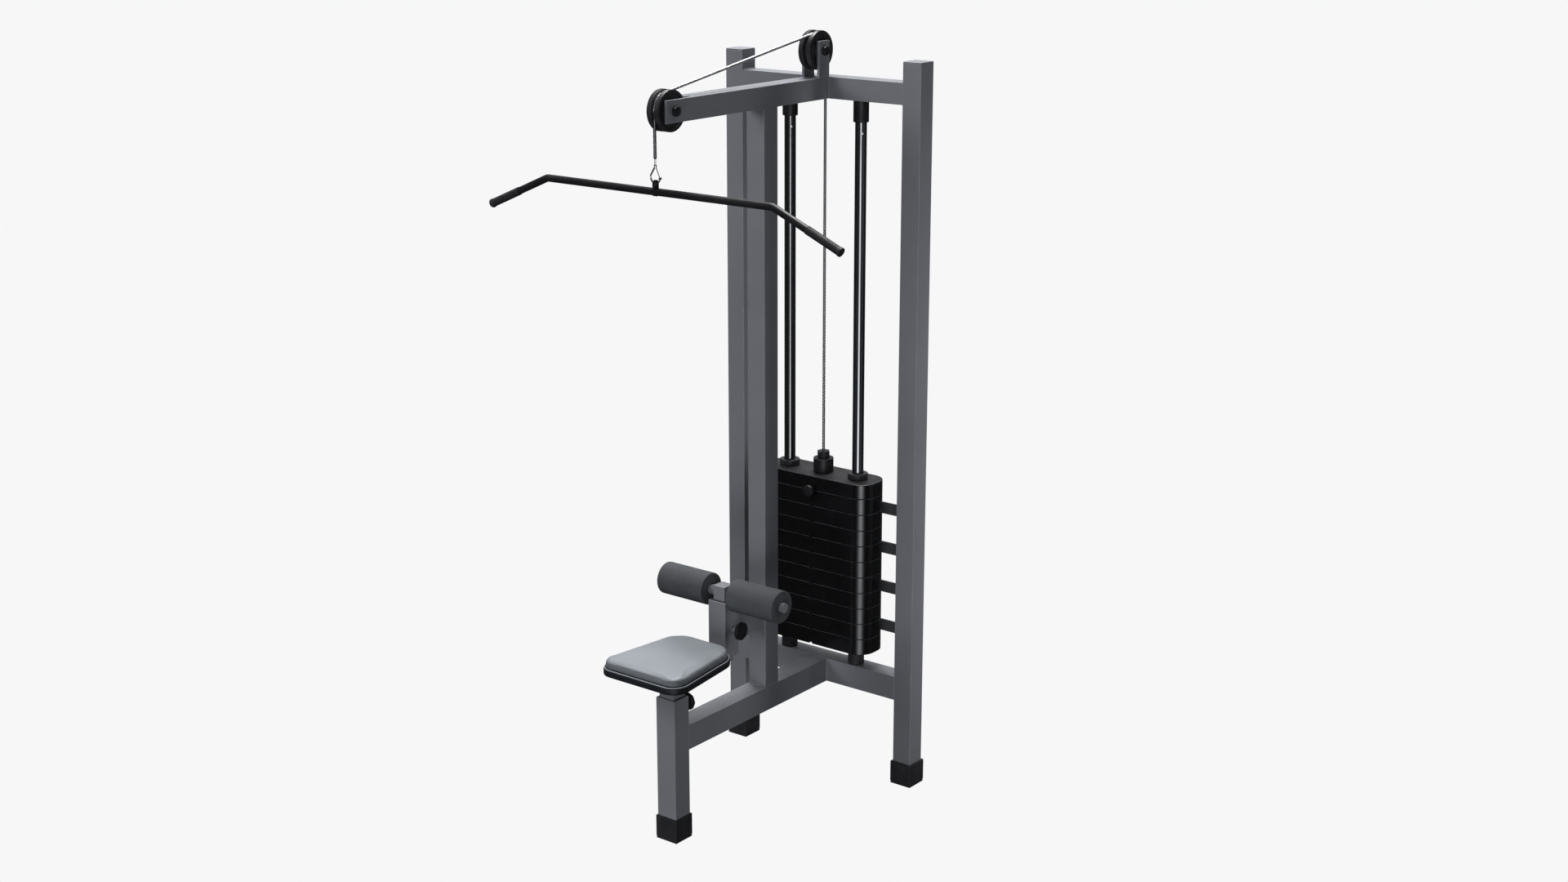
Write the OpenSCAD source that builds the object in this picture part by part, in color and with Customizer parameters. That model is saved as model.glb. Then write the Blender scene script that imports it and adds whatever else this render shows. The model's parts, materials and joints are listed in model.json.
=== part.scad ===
// Lat pulldown machine with a weight stack, an overhead cable, a seat and thigh rollers.
// Millimetres, +Z up, the user faces +Y. The origin is on the floor, at the middle of the
// machine's footprint box.

/* [Frame] */
// Overall height of the two rear posts, with their caps
post_h = 2120; // [2080:1:2160]
// Distance between the centres of the two rear posts
post_gap = 617; // [600:1:640]
// Side of the square tubes of the posts, boom and column
tube = 60; // [60:1:62]
// Wall thickness of the square tubes
wall = 3; // [2.5:0.1:3]
// Height of the top face of the boom and upper crossbeam
boom_top = 2062; // [2040:1:2070]
// Distance from the posts' centre line forward to the tip of the boom's fork
boom_reach = 725; // [722:1:735]
// Distance from the posts' centre line forward to the column
column_reach = 293; // [285:1:300]
// Distance from the posts' centre line forward to the front leg
leg_reach = 701; // [696:1:706]
// Height of the front leg's tube above the floor
leg_top = 424; // [415:1:430]
// Width of the front leg and of the lower beam
beam_w = 66; // [66:1:70]
// Height of the lower beam and lower crossbeam tubes
beam_h = 72; // [68:1:74]
// Height of the lower beam's underside above the floor
beam_z = 263; // [255:1:265]
// Height of the rubber feet
foot_h = 70; // [60:1:80]

/* [Pulleys and cable] */
// Outside diameter of the pulleys
pulley_d = 109; // [107:1:111]
// Width of the pulleys over both flanges
pulley_w = 40; // [38:1:40]
// Diameter of the circle that the cable's centre follows in a pulley
pitch_d = 92; // [90:1:93]
// Diameter of the steel cable
cable_d = 7.5; // [6:0.1:7.5]
// Diameter of the pulley bolts
bolt_d = 16; // [14:1:16]

/* [Weight stack] */
// Length of a weight plate along X
plate_l = 388; // [370:1:400]
// Depth of a weight plate along Y
plate_w = 122; // [118:1:124]
// Thickness of a weight plate
plate_t = 47.9; // [46:0.1:48.4]
// Thickness of the head plate
head_t = 43; // [36:1:46]
// Corner radius of the plates
plate_r = 50.5; // [40:0.5:54]
// Distance between the two guide rods
rod_gap = 248; // [240:1:256]
// Diameter of the guide rods
rod_d = 33; // [30:1:33]
// Height of the rubber bumpers under the stack
bumper_h = 51; // [44:1:55]

/* [Lat bar] */
// Distance between the bar's two bends
bar_straight = 762; // [700:1:800]
// Outside diameter of the bar
bar_d = 20; // [18:1:20]
// Length of each drooping end, from the bend
bar_end = 229; // [200:1:235]
// Angle by which each end droops
bar_droop = 23.15; // [15:0.05:30]
// Height of the bar's straight stretch above the floor
bar_z = 1828; // [1828:1:1829]

/* [Seat] */
// Width of the seat board at its front
seat_w = 284; // [276:1:290]
// Width of the seat board at its rounded rear corners
seat_rear_w = 234; // [226:1:240]
// Depth of the seat board, front to back
seat_l = 295; // [290:1:300]
// Height of the seat board's underside above the floor
seat_z = 501.5; // [495:0.5:508]
// Thickness of the seat board
board_t = 19; // [15:1:20]
// Thickness of the seat pad
pad_t = 27; // [24:1:34]

/* [Thigh rollers] */
// Distance from the posts' centre line forward to the thigh post
thigh_reach = 475; // [470:1:480]
// Height of the rollers' axis above the floor
roller_z = 664; // [664:1:670]
// Diameter of the foam rollers
roller_d = 94; // [80:1:96]
// Length of each foam roller
roller_l = 163.5; // [140:0.5:165]
// Gap between the two foam rollers
roller_gap = 87; // [86:1:100]
// Diameter of the rod that the rollers turn on
roller_rod_d = 28; // [22:1:28]

/* [Hidden] */
$fn = 64;
eps = 0.01;

// Overall depth: the seat's front edge to the guard bars' backs
guard_t = 5;
guard_back = 66;
seat_front = leg_reach + 150;
post_y = (seat_front - guard_back) / 2;

// Places along Y
column_y = post_y - column_reach;
leg_y = post_y - leg_reach;
thigh_y = post_y - thigh_reach;
stack_y = post_y - 6;
pitch_r = pitch_d / 2;
rear_pulley_y = stack_y - pitch_r;
front_pulley_y = post_y - boom_reach + 34;
drop_y = front_pulley_y - pitch_r;

// Heights
post_x = post_gap / 2;
boom_z = boom_top - tube;
front_pulley_z = boom_top - tube / 2;
bracket_h = 101;
rear_pulley_z = boom_top + 74;
beam_top = beam_z + beam_h;
stack_z = beam_top + bumper_h;
plate_count = 10;
head_z = stack_z + plate_count * plate_t;
head_top = head_z + head_t;
foot_floor = 12;

// Fittings
cheek = 6.25;
slot_back = 618;
bracket_in = 22;
bracket_t = 8;
bracket_w = 48;
hex_head_h = 10;
nut_h = 13;
bearing_od = 35;
bearing_w = 10;
run_gap = 0.05;
face_gap = 0.3;
collar_d = 44;
collar_h = 60;
pin_z = boom_z - 90.5;
bumper_d = 48;
boss_d = 59;
selector_d = 28;
pin_d = 10;
nut_top = head_top + 63;
leg_d = tube;

// The cable's upper run touches both pulleys on its tangent
span_y = rear_pulley_y - front_pulley_y;
span_z = rear_pulley_z - front_pulley_z;
span = sqrt(span_y * span_y + span_z * span_z);
tangent = 90 + atan2(span_z, span_y);

// Hook and bar
ferrule_d = 8.4;
ferrule_z = 1912.5;
ferrule_top = front_pulley_z - 17;
wire_d = 4.5;
gate_d = 2.4;
hook_z = 1850;
hook_r = 16;
hook_top = 1894;
lug_t = 8;
lug_w = 18;

// Seat and thigh fittings
seat_tube = 50;
seat_tube_z = 250;
seat_plate_t = 5.5;
seat_knob_z = leg_top - 35;
thigh_tube = 40;
thigh_tube_z = roller_z - 205;
thigh_tube_top = roller_z + 22.5;
sleeve_z = roller_z - 187.5;
sleeve_top = roller_z - 20;
arm_z = sleeve_z + 45.5;
arm_w = 50;
arm_h = 80;
thigh_knob_z = roller_z - 102.5;
stud_d = 9.9;
knob_boss_d = 24;
knob_boss_h = 22;
knob_d = 54;
slide_gap = 0.4;

grey = [0.38, 0.40, 0.42];
charcoal = [0.20, 0.21, 0.22];
black = [0.06, 0.06, 0.07];
steel = [0.70, 0.71, 0.73];
rubber = [0.10, 0.10, 0.11];
vinyl = [0.58, 0.61, 0.64];

// ---------- shared shapes ----------

// A box given by its centre in X and Y, and its floor in Z
module block(x, y, z, size) {
    translate([x - size[0] / 2, y - size[1] / 2, z]) cube(size);
}

// A hollow square tube standing on z, open at both ends
module upright(x, y, z, size, t = wall) {
    difference() {
        block(x, y, z, size);
        block(x, y, z - 1, [size[0] - 2 * t, size[1] - 2 * t, size[2] + 2]);
    }
}

// A cylinder along X between two places
module bar_x(x0, x1, y, z, d) {
    translate([x0, y, z]) rotate([0, 90, 0]) cylinder(d = d, h = x1 - x0);
}

// A cylinder along Y between two places
module bar_y(y0, y1, x, z, d) {
    translate([x, y0, z]) rotate([-90, 0, 0]) cylinder(d = d, h = y1 - y0);
}

// A cylinder along Z between two heights
module bar_z(z0, z1, x, y, d) {
    translate([x, y, z0]) cylinder(d = d, h = z1 - z0);
}

// A hexagonal prism along X, given by its width across flats
module hex_x(x0, x1, y, z, flats) {
    translate([x0, y, z]) rotate([0, 90, 0]) cylinder(d = flats / cos(30), h = x1 - x0, $fn = 6);
}

// A ring along X
module ring_x(x0, x1, y, z, od, id) {
    difference() {
        bar_x(x0, x1, y, z, od);
        bar_x(x0 - 1, x1 + 1, y, z, id);
    }
}

// A ring along Z
module ring_z(z0, z1, x, y, od, id) {
    difference() {
        bar_z(z0, z1, x, y, od);
        bar_z(z0 - 1, z1 + 1, x, y, id);
    }
}

// The same shape on both sides of the middle plane
module both_sides() {
    children();
    mirror([1, 0, 0]) children();
}

// ---------- frame ----------

module post(side) {
    color(grey) upright(side * post_x, post_y, foot_floor, [tube, tube, post_h - wall - foot_floor]);
}

module post_caps() {
    plug = tube - 2 * wall;
    color(grey) both_sides() {
        block(post_x, post_y, post_h - wall, [tube, tube, wall]);
        block(post_x, post_y, post_h - wall - 12, [plug, plug, 12]);
    }
}

module crossbeam_tube(z, h) {
    difference() {
        block(0, post_y, z, [post_gap - tube, tube, h]);
        block(0, post_y, z + wall, [post_gap - tube + 2, tube - 2 * wall, h - 2 * wall]);
    }
}

module upper_crossbeam() {
    color(grey) difference() {
        crossbeam_tube(boom_z, tube);
        both_sides() bar_z(boom_z - 1, boom_z + wall + 1, rod_gap / 2, stack_y, rod_d);
        bar_z(boom_z - 1, boom_top + 1, 0, stack_y, 16);
    }
}

module lower_crossbeam() {
    color(grey) difference() {
        crossbeam_tube(beam_z, beam_h);
        both_sides() bar_z(beam_top - wall - 1, beam_top + 1, rod_gap / 2, stack_y, rod_d);
    }
}

// The boom is a square tube whose front end is slotted into a fork for the pulley
module boom() {
    y_tip = post_y - boom_reach;
    y_slot = post_y - slot_back;
    y_back = post_y - tube / 2;
    inner = tube - 2 * cheek;
    color(grey) difference() {
        translate([-tube / 2, y_tip, boom_z]) cube([tube, y_back - y_tip, tube]);
        translate([-inner / 2, y_slot + cheek, boom_z + cheek])
            cube([inner, y_back - y_slot, inner]);
        translate([-inner / 2, y_tip - 1, boom_z - 1]) cube([inner, y_slot - y_tip + 1, tube + 2]);
        bar_x(-tube, tube, front_pulley_y, front_pulley_z, bolt_d);
    }
}

module column() {
    color(grey) upright(0, column_y, beam_top, [tube, tube, boom_z - beam_top]);
}

module lower_beam() {
    y0 = leg_y + leg_d / 2;
    y1 = post_y - tube / 2;
    color(grey) difference() {
        translate([-beam_w / 2, y0, beam_z]) cube([beam_w, y1 - y0, beam_h]);
        translate([-beam_w / 2 + wall, y0 - 1, beam_z + wall])
            cube([beam_w - 2 * wall, y1 - y0 + 2, beam_h - 2 * wall]);
    }
}

// The leg carries a welded boss for the seat knob on its back
module front_leg() {
    y_back = leg_y + leg_d / 2;
    color(grey) difference() {
        union() {
            upright(0, leg_y, foot_floor, [beam_w, leg_d, leg_top - foot_floor]);
            bar_y(y_back - eps, y_back + knob_boss_h, 0, seat_knob_z, knob_boss_d);
        }
        bar_y(y_back - wall - 1, y_back + knob_boss_h + 1, 0, seat_knob_z, stud_d + 2 * run_gap);
    }
}

module foot(x, y, size, socket) {
    color(rubber) difference() {
        block(x, y, 0, [size[0], size[1], foot_h]);
        block(x, y, foot_floor, [socket[0], socket[1], foot_h]);
    }
}

// Flat bars behind the stack, cranked backwards to clear the weight plates
module guard_bars() {
    bar_h = 35.4;
    pitch = 121.2;
    first = 793;
    x_end = post_x - 6;
    x_in = post_x - tube / 2 - 22;
    x_out = x_in + 18;
    y_in = guard_back - guard_t;
    y_out = tube / 2;
    outline = [
        [-x_end, y_out], [-x_out, y_out], [-x_in, y_in], [x_in, y_in], [x_out, y_out], [x_end, y_out],
        [x_end, y_out + guard_t], [x_out + 2, y_out + guard_t], [x_in + 2, guard_back],
        [-x_in - 2, guard_back], [-x_out - 2, y_out + guard_t], [-x_end, y_out + guard_t],
    ];
    color(charcoal) for (i = [0:3])
        translate([0, post_y, first - i * pitch]) linear_extrude(bar_h) polygon(outline);
}

module pulley_brackets() {
    color(grey) both_sides() difference() {
        translate([bracket_in, rear_pulley_y - bracket_w / 2, boom_top])
            cube([bracket_t, bracket_w, bracket_h]);
        bar_x(0, tube, rear_pulley_y, rear_pulley_z, bolt_d);
    }
}

// ---------- pulleys ----------

// One pulley bolt with its nut; half is the half width of the fork it crosses
module pulley_bolt(y, z, half) {
    bar_x(-half - nut_h - 3, half + eps, y, z, bolt_d);
    hex_x(half, half + hex_head_h, y, z, 24);
    difference() {
        hex_x(-half - nut_h, -half, y, z, 24);
        bar_x(-half - nut_h - 1, -half + 1, y, z, bolt_d);
    }
}

module pulley_bolts() {
    half = tube / 2;
    color(black) {
        pulley_bolt(front_pulley_y, front_pulley_z, half);
        pulley_bolt(rear_pulley_y, rear_pulley_z, bracket_in + bracket_t);
    }
}

module pulley_spacers() {
    x0 = pulley_w / 2 + face_gap;
    color(steel) both_sides() {
        ring_x(x0, tube / 2 - cheek, front_pulley_y, front_pulley_z, 26, bolt_d);
        ring_x(x0, bracket_in, rear_pulley_y, rear_pulley_z, 26, bolt_d);
    }
}

// A grooved pulley about X, with a stepped bore that seats two bearings
module pulley(y, z) {
    half = pulley_w / 2;
    groove_r = 4.3;
    groove_c = pitch_r + groove_r - cable_d / 2 - 0.35;
    bead = 1.2;
    shoulder = half - bearing_w;
    translate([0, y, z]) rotate([0, 90, 0]) difference() {
        rotate_extrude($fn = 96) difference() {
            polygon([
                [14, -half], [pulley_d / 2 - bead, -half], [pulley_d / 2, -half + bead],
                [pulley_d / 2, half - bead], [pulley_d / 2 - bead, half], [14, half],
            ]);
            translate([groove_c, 0]) circle(r = groove_r, $fn = 32);
            polygon([
                [groove_c, -groove_r], [pulley_d / 2 + 1, -6], [pulley_d / 2 + 1, 6],
                [groove_c, groove_r],
            ]);
        }
        for (s = [-half - 1, shoulder]) translate([0, 0, s]) cylinder(d = bearing_od, h = bearing_w + 1);
    }
}

module bearings(y, z) {
    half = pulley_w / 2;
    color(steel) both_sides() {
        ring_x(half - bearing_w, half, y, z, bearing_od, bolt_d + 2 * run_gap);
    }
}

// ---------- guide rods and stack ----------

module guide_rod(side) {
    color(black) difference() {
        bar_z(beam_z + wall, boom_z + 38, side * rod_gap / 2, stack_y, rod_d);
        rod_pin(side);
    }
}

// The retaining pin crosses the rod on a slant, so that its end faces the front corner
module rod_pin(side) {
    translate([side * rod_gap / 2, stack_y, pin_z]) rotate([0, 0, -41])
        translate([-rod_d / 2 - 1.2, 0, 0]) rotate([0, 90, 0]) cylinder(d = 6, h = rod_d + 2.4);
}

module rod_pins() {
    color(steel) for (side = [-1, 1]) rod_pin(side);
}

module rod_collars() {
    color(black) both_sides() ring_z(boom_z - collar_h, boom_z, rod_gap / 2, stack_y, collar_d, rod_d);
}

module stack_bumpers() {
    color(rubber) both_sides() ring_z(beam_top, stack_z, rod_gap / 2, stack_y, bumper_d, rod_d);
}

module plate_blank(z, t) {
    x = plate_l / 2 - plate_r;
    y = plate_w / 2 - plate_r;
    translate([0, stack_y, z]) linear_extrude(t) union() {
        square([plate_l, 2 * y], center = true);
        square([2 * x, plate_w], center = true);
        for (sx = [-1, 1]) for (sy = [-1, 1]) translate([sx * x, sy * y]) circle(r = plate_r);
    }
}

// The selector pin's groove, shared half and half by the two plates at a joint
module pin_groove(z) {
    bar_y(stack_y - plate_w / 2 - 1, stack_y + plate_w / 2 - 20, 0, z, pin_d + 2);
}

// Plate 1 is the top one
module weight_plate(index) {
    z = head_z - index * plate_t;
    color(black) difference() {
        plate_blank(z, plate_t);
        both_sides() bar_z(z - 1, z + plate_t + 1, rod_gap / 2, stack_y, rod_d + 2);
        bar_z(z - 1, z + plate_t + 1, 0, stack_y, selector_d + 3);
        pin_groove(z + plate_t);
        pin_groove(z);
    }
}

module head_plate() {
    color(black) difference() {
        plate_blank(head_z, head_t);
        both_sides() bar_z(head_z - 1, head_top + 1, rod_gap / 2, stack_y, rod_d + 9);
        bar_z(head_z - 1, head_top + 1, 0, stack_y, selector_d);
        pin_groove(head_z);
    }
}

module guide_bushings() {
    color(rubber) both_sides() difference() {
        union() {
            bar_z(head_z, head_top + 1, rod_gap / 2, stack_y, rod_d + 9);
            bar_z(head_top, head_top + 18, rod_gap / 2, stack_y, boss_d);
        }
        bar_z(head_z - 1, head_top + 20, rod_gap / 2, stack_y, rod_d + 2 * run_gap);
    }
}

// The selector rod hangs from its boss and is cross-drilled at every plate joint
module selector_rod() {
    z_end = stack_z + 18;
    color(black) difference() {
        union() {
            bar_z(z_end, head_top + 1, 0, stack_y, selector_d);
            bar_z(head_top, head_top + 42, 0, stack_y, boss_d);
        }
        for (i = [0:plate_count - 1])
            bar_y(stack_y - selector_d, stack_y + selector_d, 0, head_z - i * plate_t, pin_d + 2 * run_gap);
    }
}

module cable_nut() {
    color(black) translate([0, stack_y, head_top + 42]) rotate([0, 0, 12])
        cylinder(d = 34 / cos(30), h = 21, $fn = 6);
}

module selector_pin() {
    y_face = stack_y - plate_w / 2;
    color(black) {
        bar_y(y_face - 8, stack_y + selector_d / 2 + 6, 0, head_z, pin_d);
        translate([0, y_face - 1, head_z]) rotate([90, 0, 0]) cylinder(d = 36, h = 18, $fn = 8);
    }
}

// ---------- cable ----------

// An arc of cable round a pulley, from angle a0 to a1 measured from +Y towards +Z
module cable_arc(y, z, a0, a1) {
    translate([0, y, z]) rotate([90, 0, 90]) rotate([0, 0, a0])
        rotate_extrude(angle = a1 - a0, $fn = 96) translate([pitch_r, 0]) circle(d = cable_d, $fn = 24);
}

module cable_over() {
    color(steel) {
        cable_arc(rear_pulley_y, rear_pulley_z, 0, tangent);
        cable_arc(front_pulley_y, front_pulley_z, tangent, 180);
        translate([0, front_pulley_y, front_pulley_z]) rotate([tangent - 90, 0, 0])
            translate([0, 0, pitch_r]) rotate([-90, 0, 0]) cylinder(d = cable_d, h = span, $fn = 24);
    }
}

module cable_rear() {
    color(steel) bar_z(nut_top, rear_pulley_z, 0, stack_y, cable_d);
}

module cable_front() {
    color(steel) bar_z(ferrule_top, front_pulley_z, 0, drop_y, cable_d);
}

module cable_ferrule() {
    color(steel) bar_z(ferrule_z, ferrule_top, 0, drop_y, ferrule_d);
}

// A straight wire in the XZ plane between two points
module wire(p, q, d) {
    run = q - p;
    translate([p[0], drop_y, p[1]]) rotate([0, 90 - atan2(run[1], run[0]), 0])
        cylinder(d = d, h = norm(run));
}

// Snap hook: a wire loop with a thin sprung gate on its right side
module snap_hook() {
    bow = 205;
    tip = 352;
    centre = [0, hook_z + hook_r];
    left = centre + hook_r * [cos(bow), sin(bow)];
    left_top = [-hook_r * 0.98, hook_z + hook_r + 4];
    right = centre + hook_r * [cos(tip), sin(tip)];
    color(steel) {
        wire([0, hook_top - 1], [0, ferrule_z], wire_d);
        wire(left_top, [0, hook_top], wire_d);
        wire(left, left_top, wire_d);
        wire(right, [0, hook_top], gate_d);
        for (p = [left_top, left, right, [0, hook_top]])
            translate([p[0], drop_y, p[1]]) sphere(d = wire_d + 0.6, $fn = 24);
        translate([0, drop_y, centre[1]]) rotate([90, 0, 0]) rotate([0, 0, bow])
            rotate_extrude(angle = tip - bow, $fn = 64) translate([hook_r, 0]) circle(d = wire_d, $fn = 24);
    }
}

// ---------- lat bar ----------

// Places its children at the bar's right bend, with +Z running along the drooping end
module at_end() {
    translate([bar_straight / 2, drop_y, bar_z]) rotate([0, 90 + bar_droop, 0]) children();
}

module lat_bar() {
    half = bar_straight / 2;
    color(black) difference() {
        union() {
            bar_x(-half, half, drop_y, bar_z, bar_d);
            both_sides() {
                at_end() cylinder(d = bar_d, h = bar_end - 4);
                at_end() sphere(d = bar_d);
            }
            block(0, drop_y, bar_z, [lug_t, lug_w, hook_z - bar_z]);
            bar_x(-lug_t / 2, lug_t / 2, drop_y, hook_z, lug_w);
        }
        bar_x(-lug_t, lug_t, drop_y, hook_z - 1.9, wire_d + 5.5);
    }
}

module bar_grips() {
    grip = 115;
    color(rubber) both_sides() at_end() {
        difference() {
            union() {
                translate([0, 0, grip]) cylinder(d = bar_d + 2.6, h = bar_end - grip);
                translate([0, 0, bar_end - 5]) cylinder(d = bar_d + 5, h = 6);
            }
            translate([0, 0, grip - 1]) cylinder(d = bar_d, h = bar_end - 4 - grip + 1);
        }
    }
}

// ---------- seat ----------

// The seat's outline, shrunk all round by inset
module seat_outline(inset) {
    front_r = 45;
    rear_r = 70;
    arc_r = 104;
    front_y = post_y - seat_front;
    back_y = front_y + seat_l;
    hull() {
        for (s = [-1, 1]) {
            translate([s * (seat_w / 2 - front_r), front_y + front_r]) circle(r = front_r - inset);
            translate([s * (seat_rear_w / 2 - rear_r), back_y - 65]) circle(r = rear_r - inset);
        }
        translate([0, back_y - arc_r]) circle(r = arc_r - inset, $fn = 96);
    }
}

seat_screw_at = 58;

module seat_screw_sites() {
    for (sx = [-1, 1]) for (sy = [-1, 1])
        translate([sx * seat_screw_at, leg_y + sy * seat_screw_at, 0]) children();
}

// The seat post is a square tube with the seat plate welded on top
module seat_post() {
    plate = 150;
    z = seat_z - seat_plate_t;
    color(grey) difference() {
        union() {
            upright(0, leg_y, seat_tube_z, [seat_tube, seat_tube, z - seat_tube_z + eps]);
            block(0, leg_y, z, [plate, plate, seat_plate_t]);
        }
        seat_screw_sites() translate([0, 0, z - 1]) cylinder(d = 6, h = seat_plate_t + 2);
    }
}

module seat_board() {
    color(black) difference() {
        translate([0, 0, seat_z]) linear_extrude(board_t) seat_outline(0);
        seat_screw_sites() translate([0, 0, seat_z - 1]) cylinder(d = 6, h = 15);
    }
}

module seat_pad() {
    color(vinyl) translate([0, 0, seat_z + board_t]) linear_extrude(pad_t) seat_outline(6);
}

module seat_screws() {
    z = seat_z - seat_plate_t;
    color(steel) seat_screw_sites() {
        translate([0, 0, z - eps]) cylinder(d = 6, h = seat_plate_t + 14);
        translate([0, 0, z - 3.5]) cylinder(d = 12, h = 3.5);
    }
}

// A clamping knob: an eight-sided grip on a stud, along +Z from the boss face
module knob(stud) {
    grip = 17;
    translate([0, 0, -stud]) cylinder(d = stud_d, h = stud + 5);
    translate([0, 0, face_gap]) cylinder(d = 26, h = 6);
    translate([0, 0, 4]) cylinder(d = knob_d, h = grip - 4, $fn = 8);
}

module seat_knob() {
    reach = knob_boss_h + wall + (leg_d / 2 - wall - seat_tube / 2) - face_gap;
    color(black) translate([0, leg_y + leg_d / 2 + knob_boss_h, seat_knob_z])
        rotate([-90, 0, 0]) knob(reach);
}

// ---------- thigh rollers ----------

module thigh_bracket() {
    y0 = thigh_y + tube / 2;
    y1 = column_y - tube / 2;
    color(grey) difference() {
        translate([-arm_w / 2, y0, arm_z]) cube([arm_w, y1 - y0, arm_h]);
        translate([-arm_w / 2 + wall, y0 - 1, arm_z + wall])
            cube([arm_w - 2 * wall, y1 - y0 + 2, arm_h - 2 * wall]);
    }
}

// The sleeve carries a welded boss for the thigh knob on its right side
module thigh_sleeve() {
    half = tube / 2;
    color(grey) difference() {
        union() {
            upright(0, thigh_y, sleeve_z, [tube, tube, sleeve_top - sleeve_z]);
            bar_x(half - eps, half + knob_boss_h, thigh_y, thigh_knob_z, knob_boss_d);
        }
        bar_x(half - wall - 1, half + knob_boss_h + 1, thigh_y, thigh_knob_z, stud_d + 2 * run_gap);
    }
}

module tube_bush(y, z, h, outer, inner) {
    difference() {
        block(0, y, z, [outer[0], outer[1], h]);
        block(0, y, z - 1, [inner, inner, h + 2]);
    }
}

// Plastic guides between the telescoping tubes, two for each
module tube_bushes() {
    cavity = tube - 2 * wall;
    leg_cavity = [beam_w - 2 * wall, leg_d - 2 * wall];
    thigh_in = thigh_tube + 2 * slide_gap;
    seat_in = seat_tube + 2 * slide_gap;
    color(rubber) {
        tube_bush(thigh_y, sleeve_top - 40, 40, [cavity, cavity], thigh_in);
        tube_bush(thigh_y, sleeve_z, 30, [cavity, cavity], thigh_in);
        tube_bush(leg_y, leg_top - 28, 28, leg_cavity, seat_in);
        tube_bush(leg_y, leg_top - 104, 30, leg_cavity, seat_in);
    }
}

// The thigh post is closed on top and crossed by the roller rod
module thigh_post() {
    color(grey) difference() {
        block(0, thigh_y, thigh_tube_z, [thigh_tube, thigh_tube, thigh_tube_top - thigh_tube_z]);
        block(0, thigh_y, thigh_tube_z - 1,
            [thigh_tube - 2 * wall, thigh_tube - 2 * wall, thigh_tube_top - thigh_tube_z + 1 - wall]);
        bar_x(-thigh_tube, thigh_tube, thigh_y, roller_z, roller_rod_d);
    }
}

module roller_rod() {
    half = roller_gap / 2 + roller_l + 11;
    color(grey) difference() {
        bar_x(-half, half, thigh_y, roller_z, roller_rod_d);
        bar_x(-half + 6, half - 6, thigh_y, roller_z, roller_rod_d - 5);
    }
}

module roller(side) {
    x0 = roller_gap / 2;
    color(vinyl) mirror([side < 0 ? 1 : 0, 0, 0])
        ring_x(x0, x0 + roller_l, thigh_y, roller_z, roller_d, roller_rod_d + 2 * run_gap);
}

module thigh_knob() {
    reach = knob_boss_h + tube / 2 - thigh_tube / 2 - face_gap;
    color(black) translate([tube / 2 + knob_boss_h, thigh_y, thigh_knob_z])
        rotate([0, 90, 0]) knob(reach);
}

// ---------- the assembly ----------

rear_foot = [tube + 11, tube + 11];
front_foot_size = [beam_w + 8, leg_d + 10];

post(-1);  // left_post
post(1);  // right_post
post_caps();
upper_crossbeam();
boom();
column();
lower_beam();
lower_crossbeam();
front_leg();
foot(-post_x, post_y, rear_foot, [tube, tube]);  // left_foot
foot(post_x, post_y, rear_foot, [tube, tube]);  // right_foot
foot(0, leg_y, front_foot_size, [beam_w, leg_d]);  // front_foot
guard_bars();
pulley_brackets();
pulley_bolts();
pulley_spacers();
guide_rod(-1);  // guide_rod_left
guide_rod(1);  // guide_rod_right
rod_collars();
rod_pins();
stack_bumpers();
weight_plate(1);  // weight_plate_01
weight_plate(2);  // weight_plate_02
weight_plate(3);  // weight_plate_03
weight_plate(4);  // weight_plate_04
weight_plate(5);  // weight_plate_05
weight_plate(6);  // weight_plate_06
weight_plate(7);  // weight_plate_07
weight_plate(8);  // weight_plate_08
weight_plate(9);  // weight_plate_09
weight_plate(10);  // weight_plate_10
thigh_bracket();
thigh_sleeve();
tube_bushes();
cable_over();
cable_rear();
cable_front();
head_plate();
guide_bushings();
selector_rod();
cable_nut();
selector_pin();
color(black) pulley(front_pulley_y, front_pulley_z);  // front_pulley
color(black) pulley(rear_pulley_y, rear_pulley_z);  // rear_pulley
bearings(front_pulley_y, front_pulley_z);  // front_bearings
bearings(rear_pulley_y, rear_pulley_z);  // rear_bearings
cable_ferrule();
snap_hook();
lat_bar();
bar_grips();
seat_post();
seat_board();
seat_pad();
seat_screws();
seat_knob();
thigh_post();
roller_rod();
roller(-1);  // roller_left
roller(1);  // roller_right
thigh_knob();
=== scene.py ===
import json
import math

import bpy
import bmesh
import numpy as np
from mathutils import Matrix, Vector


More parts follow.
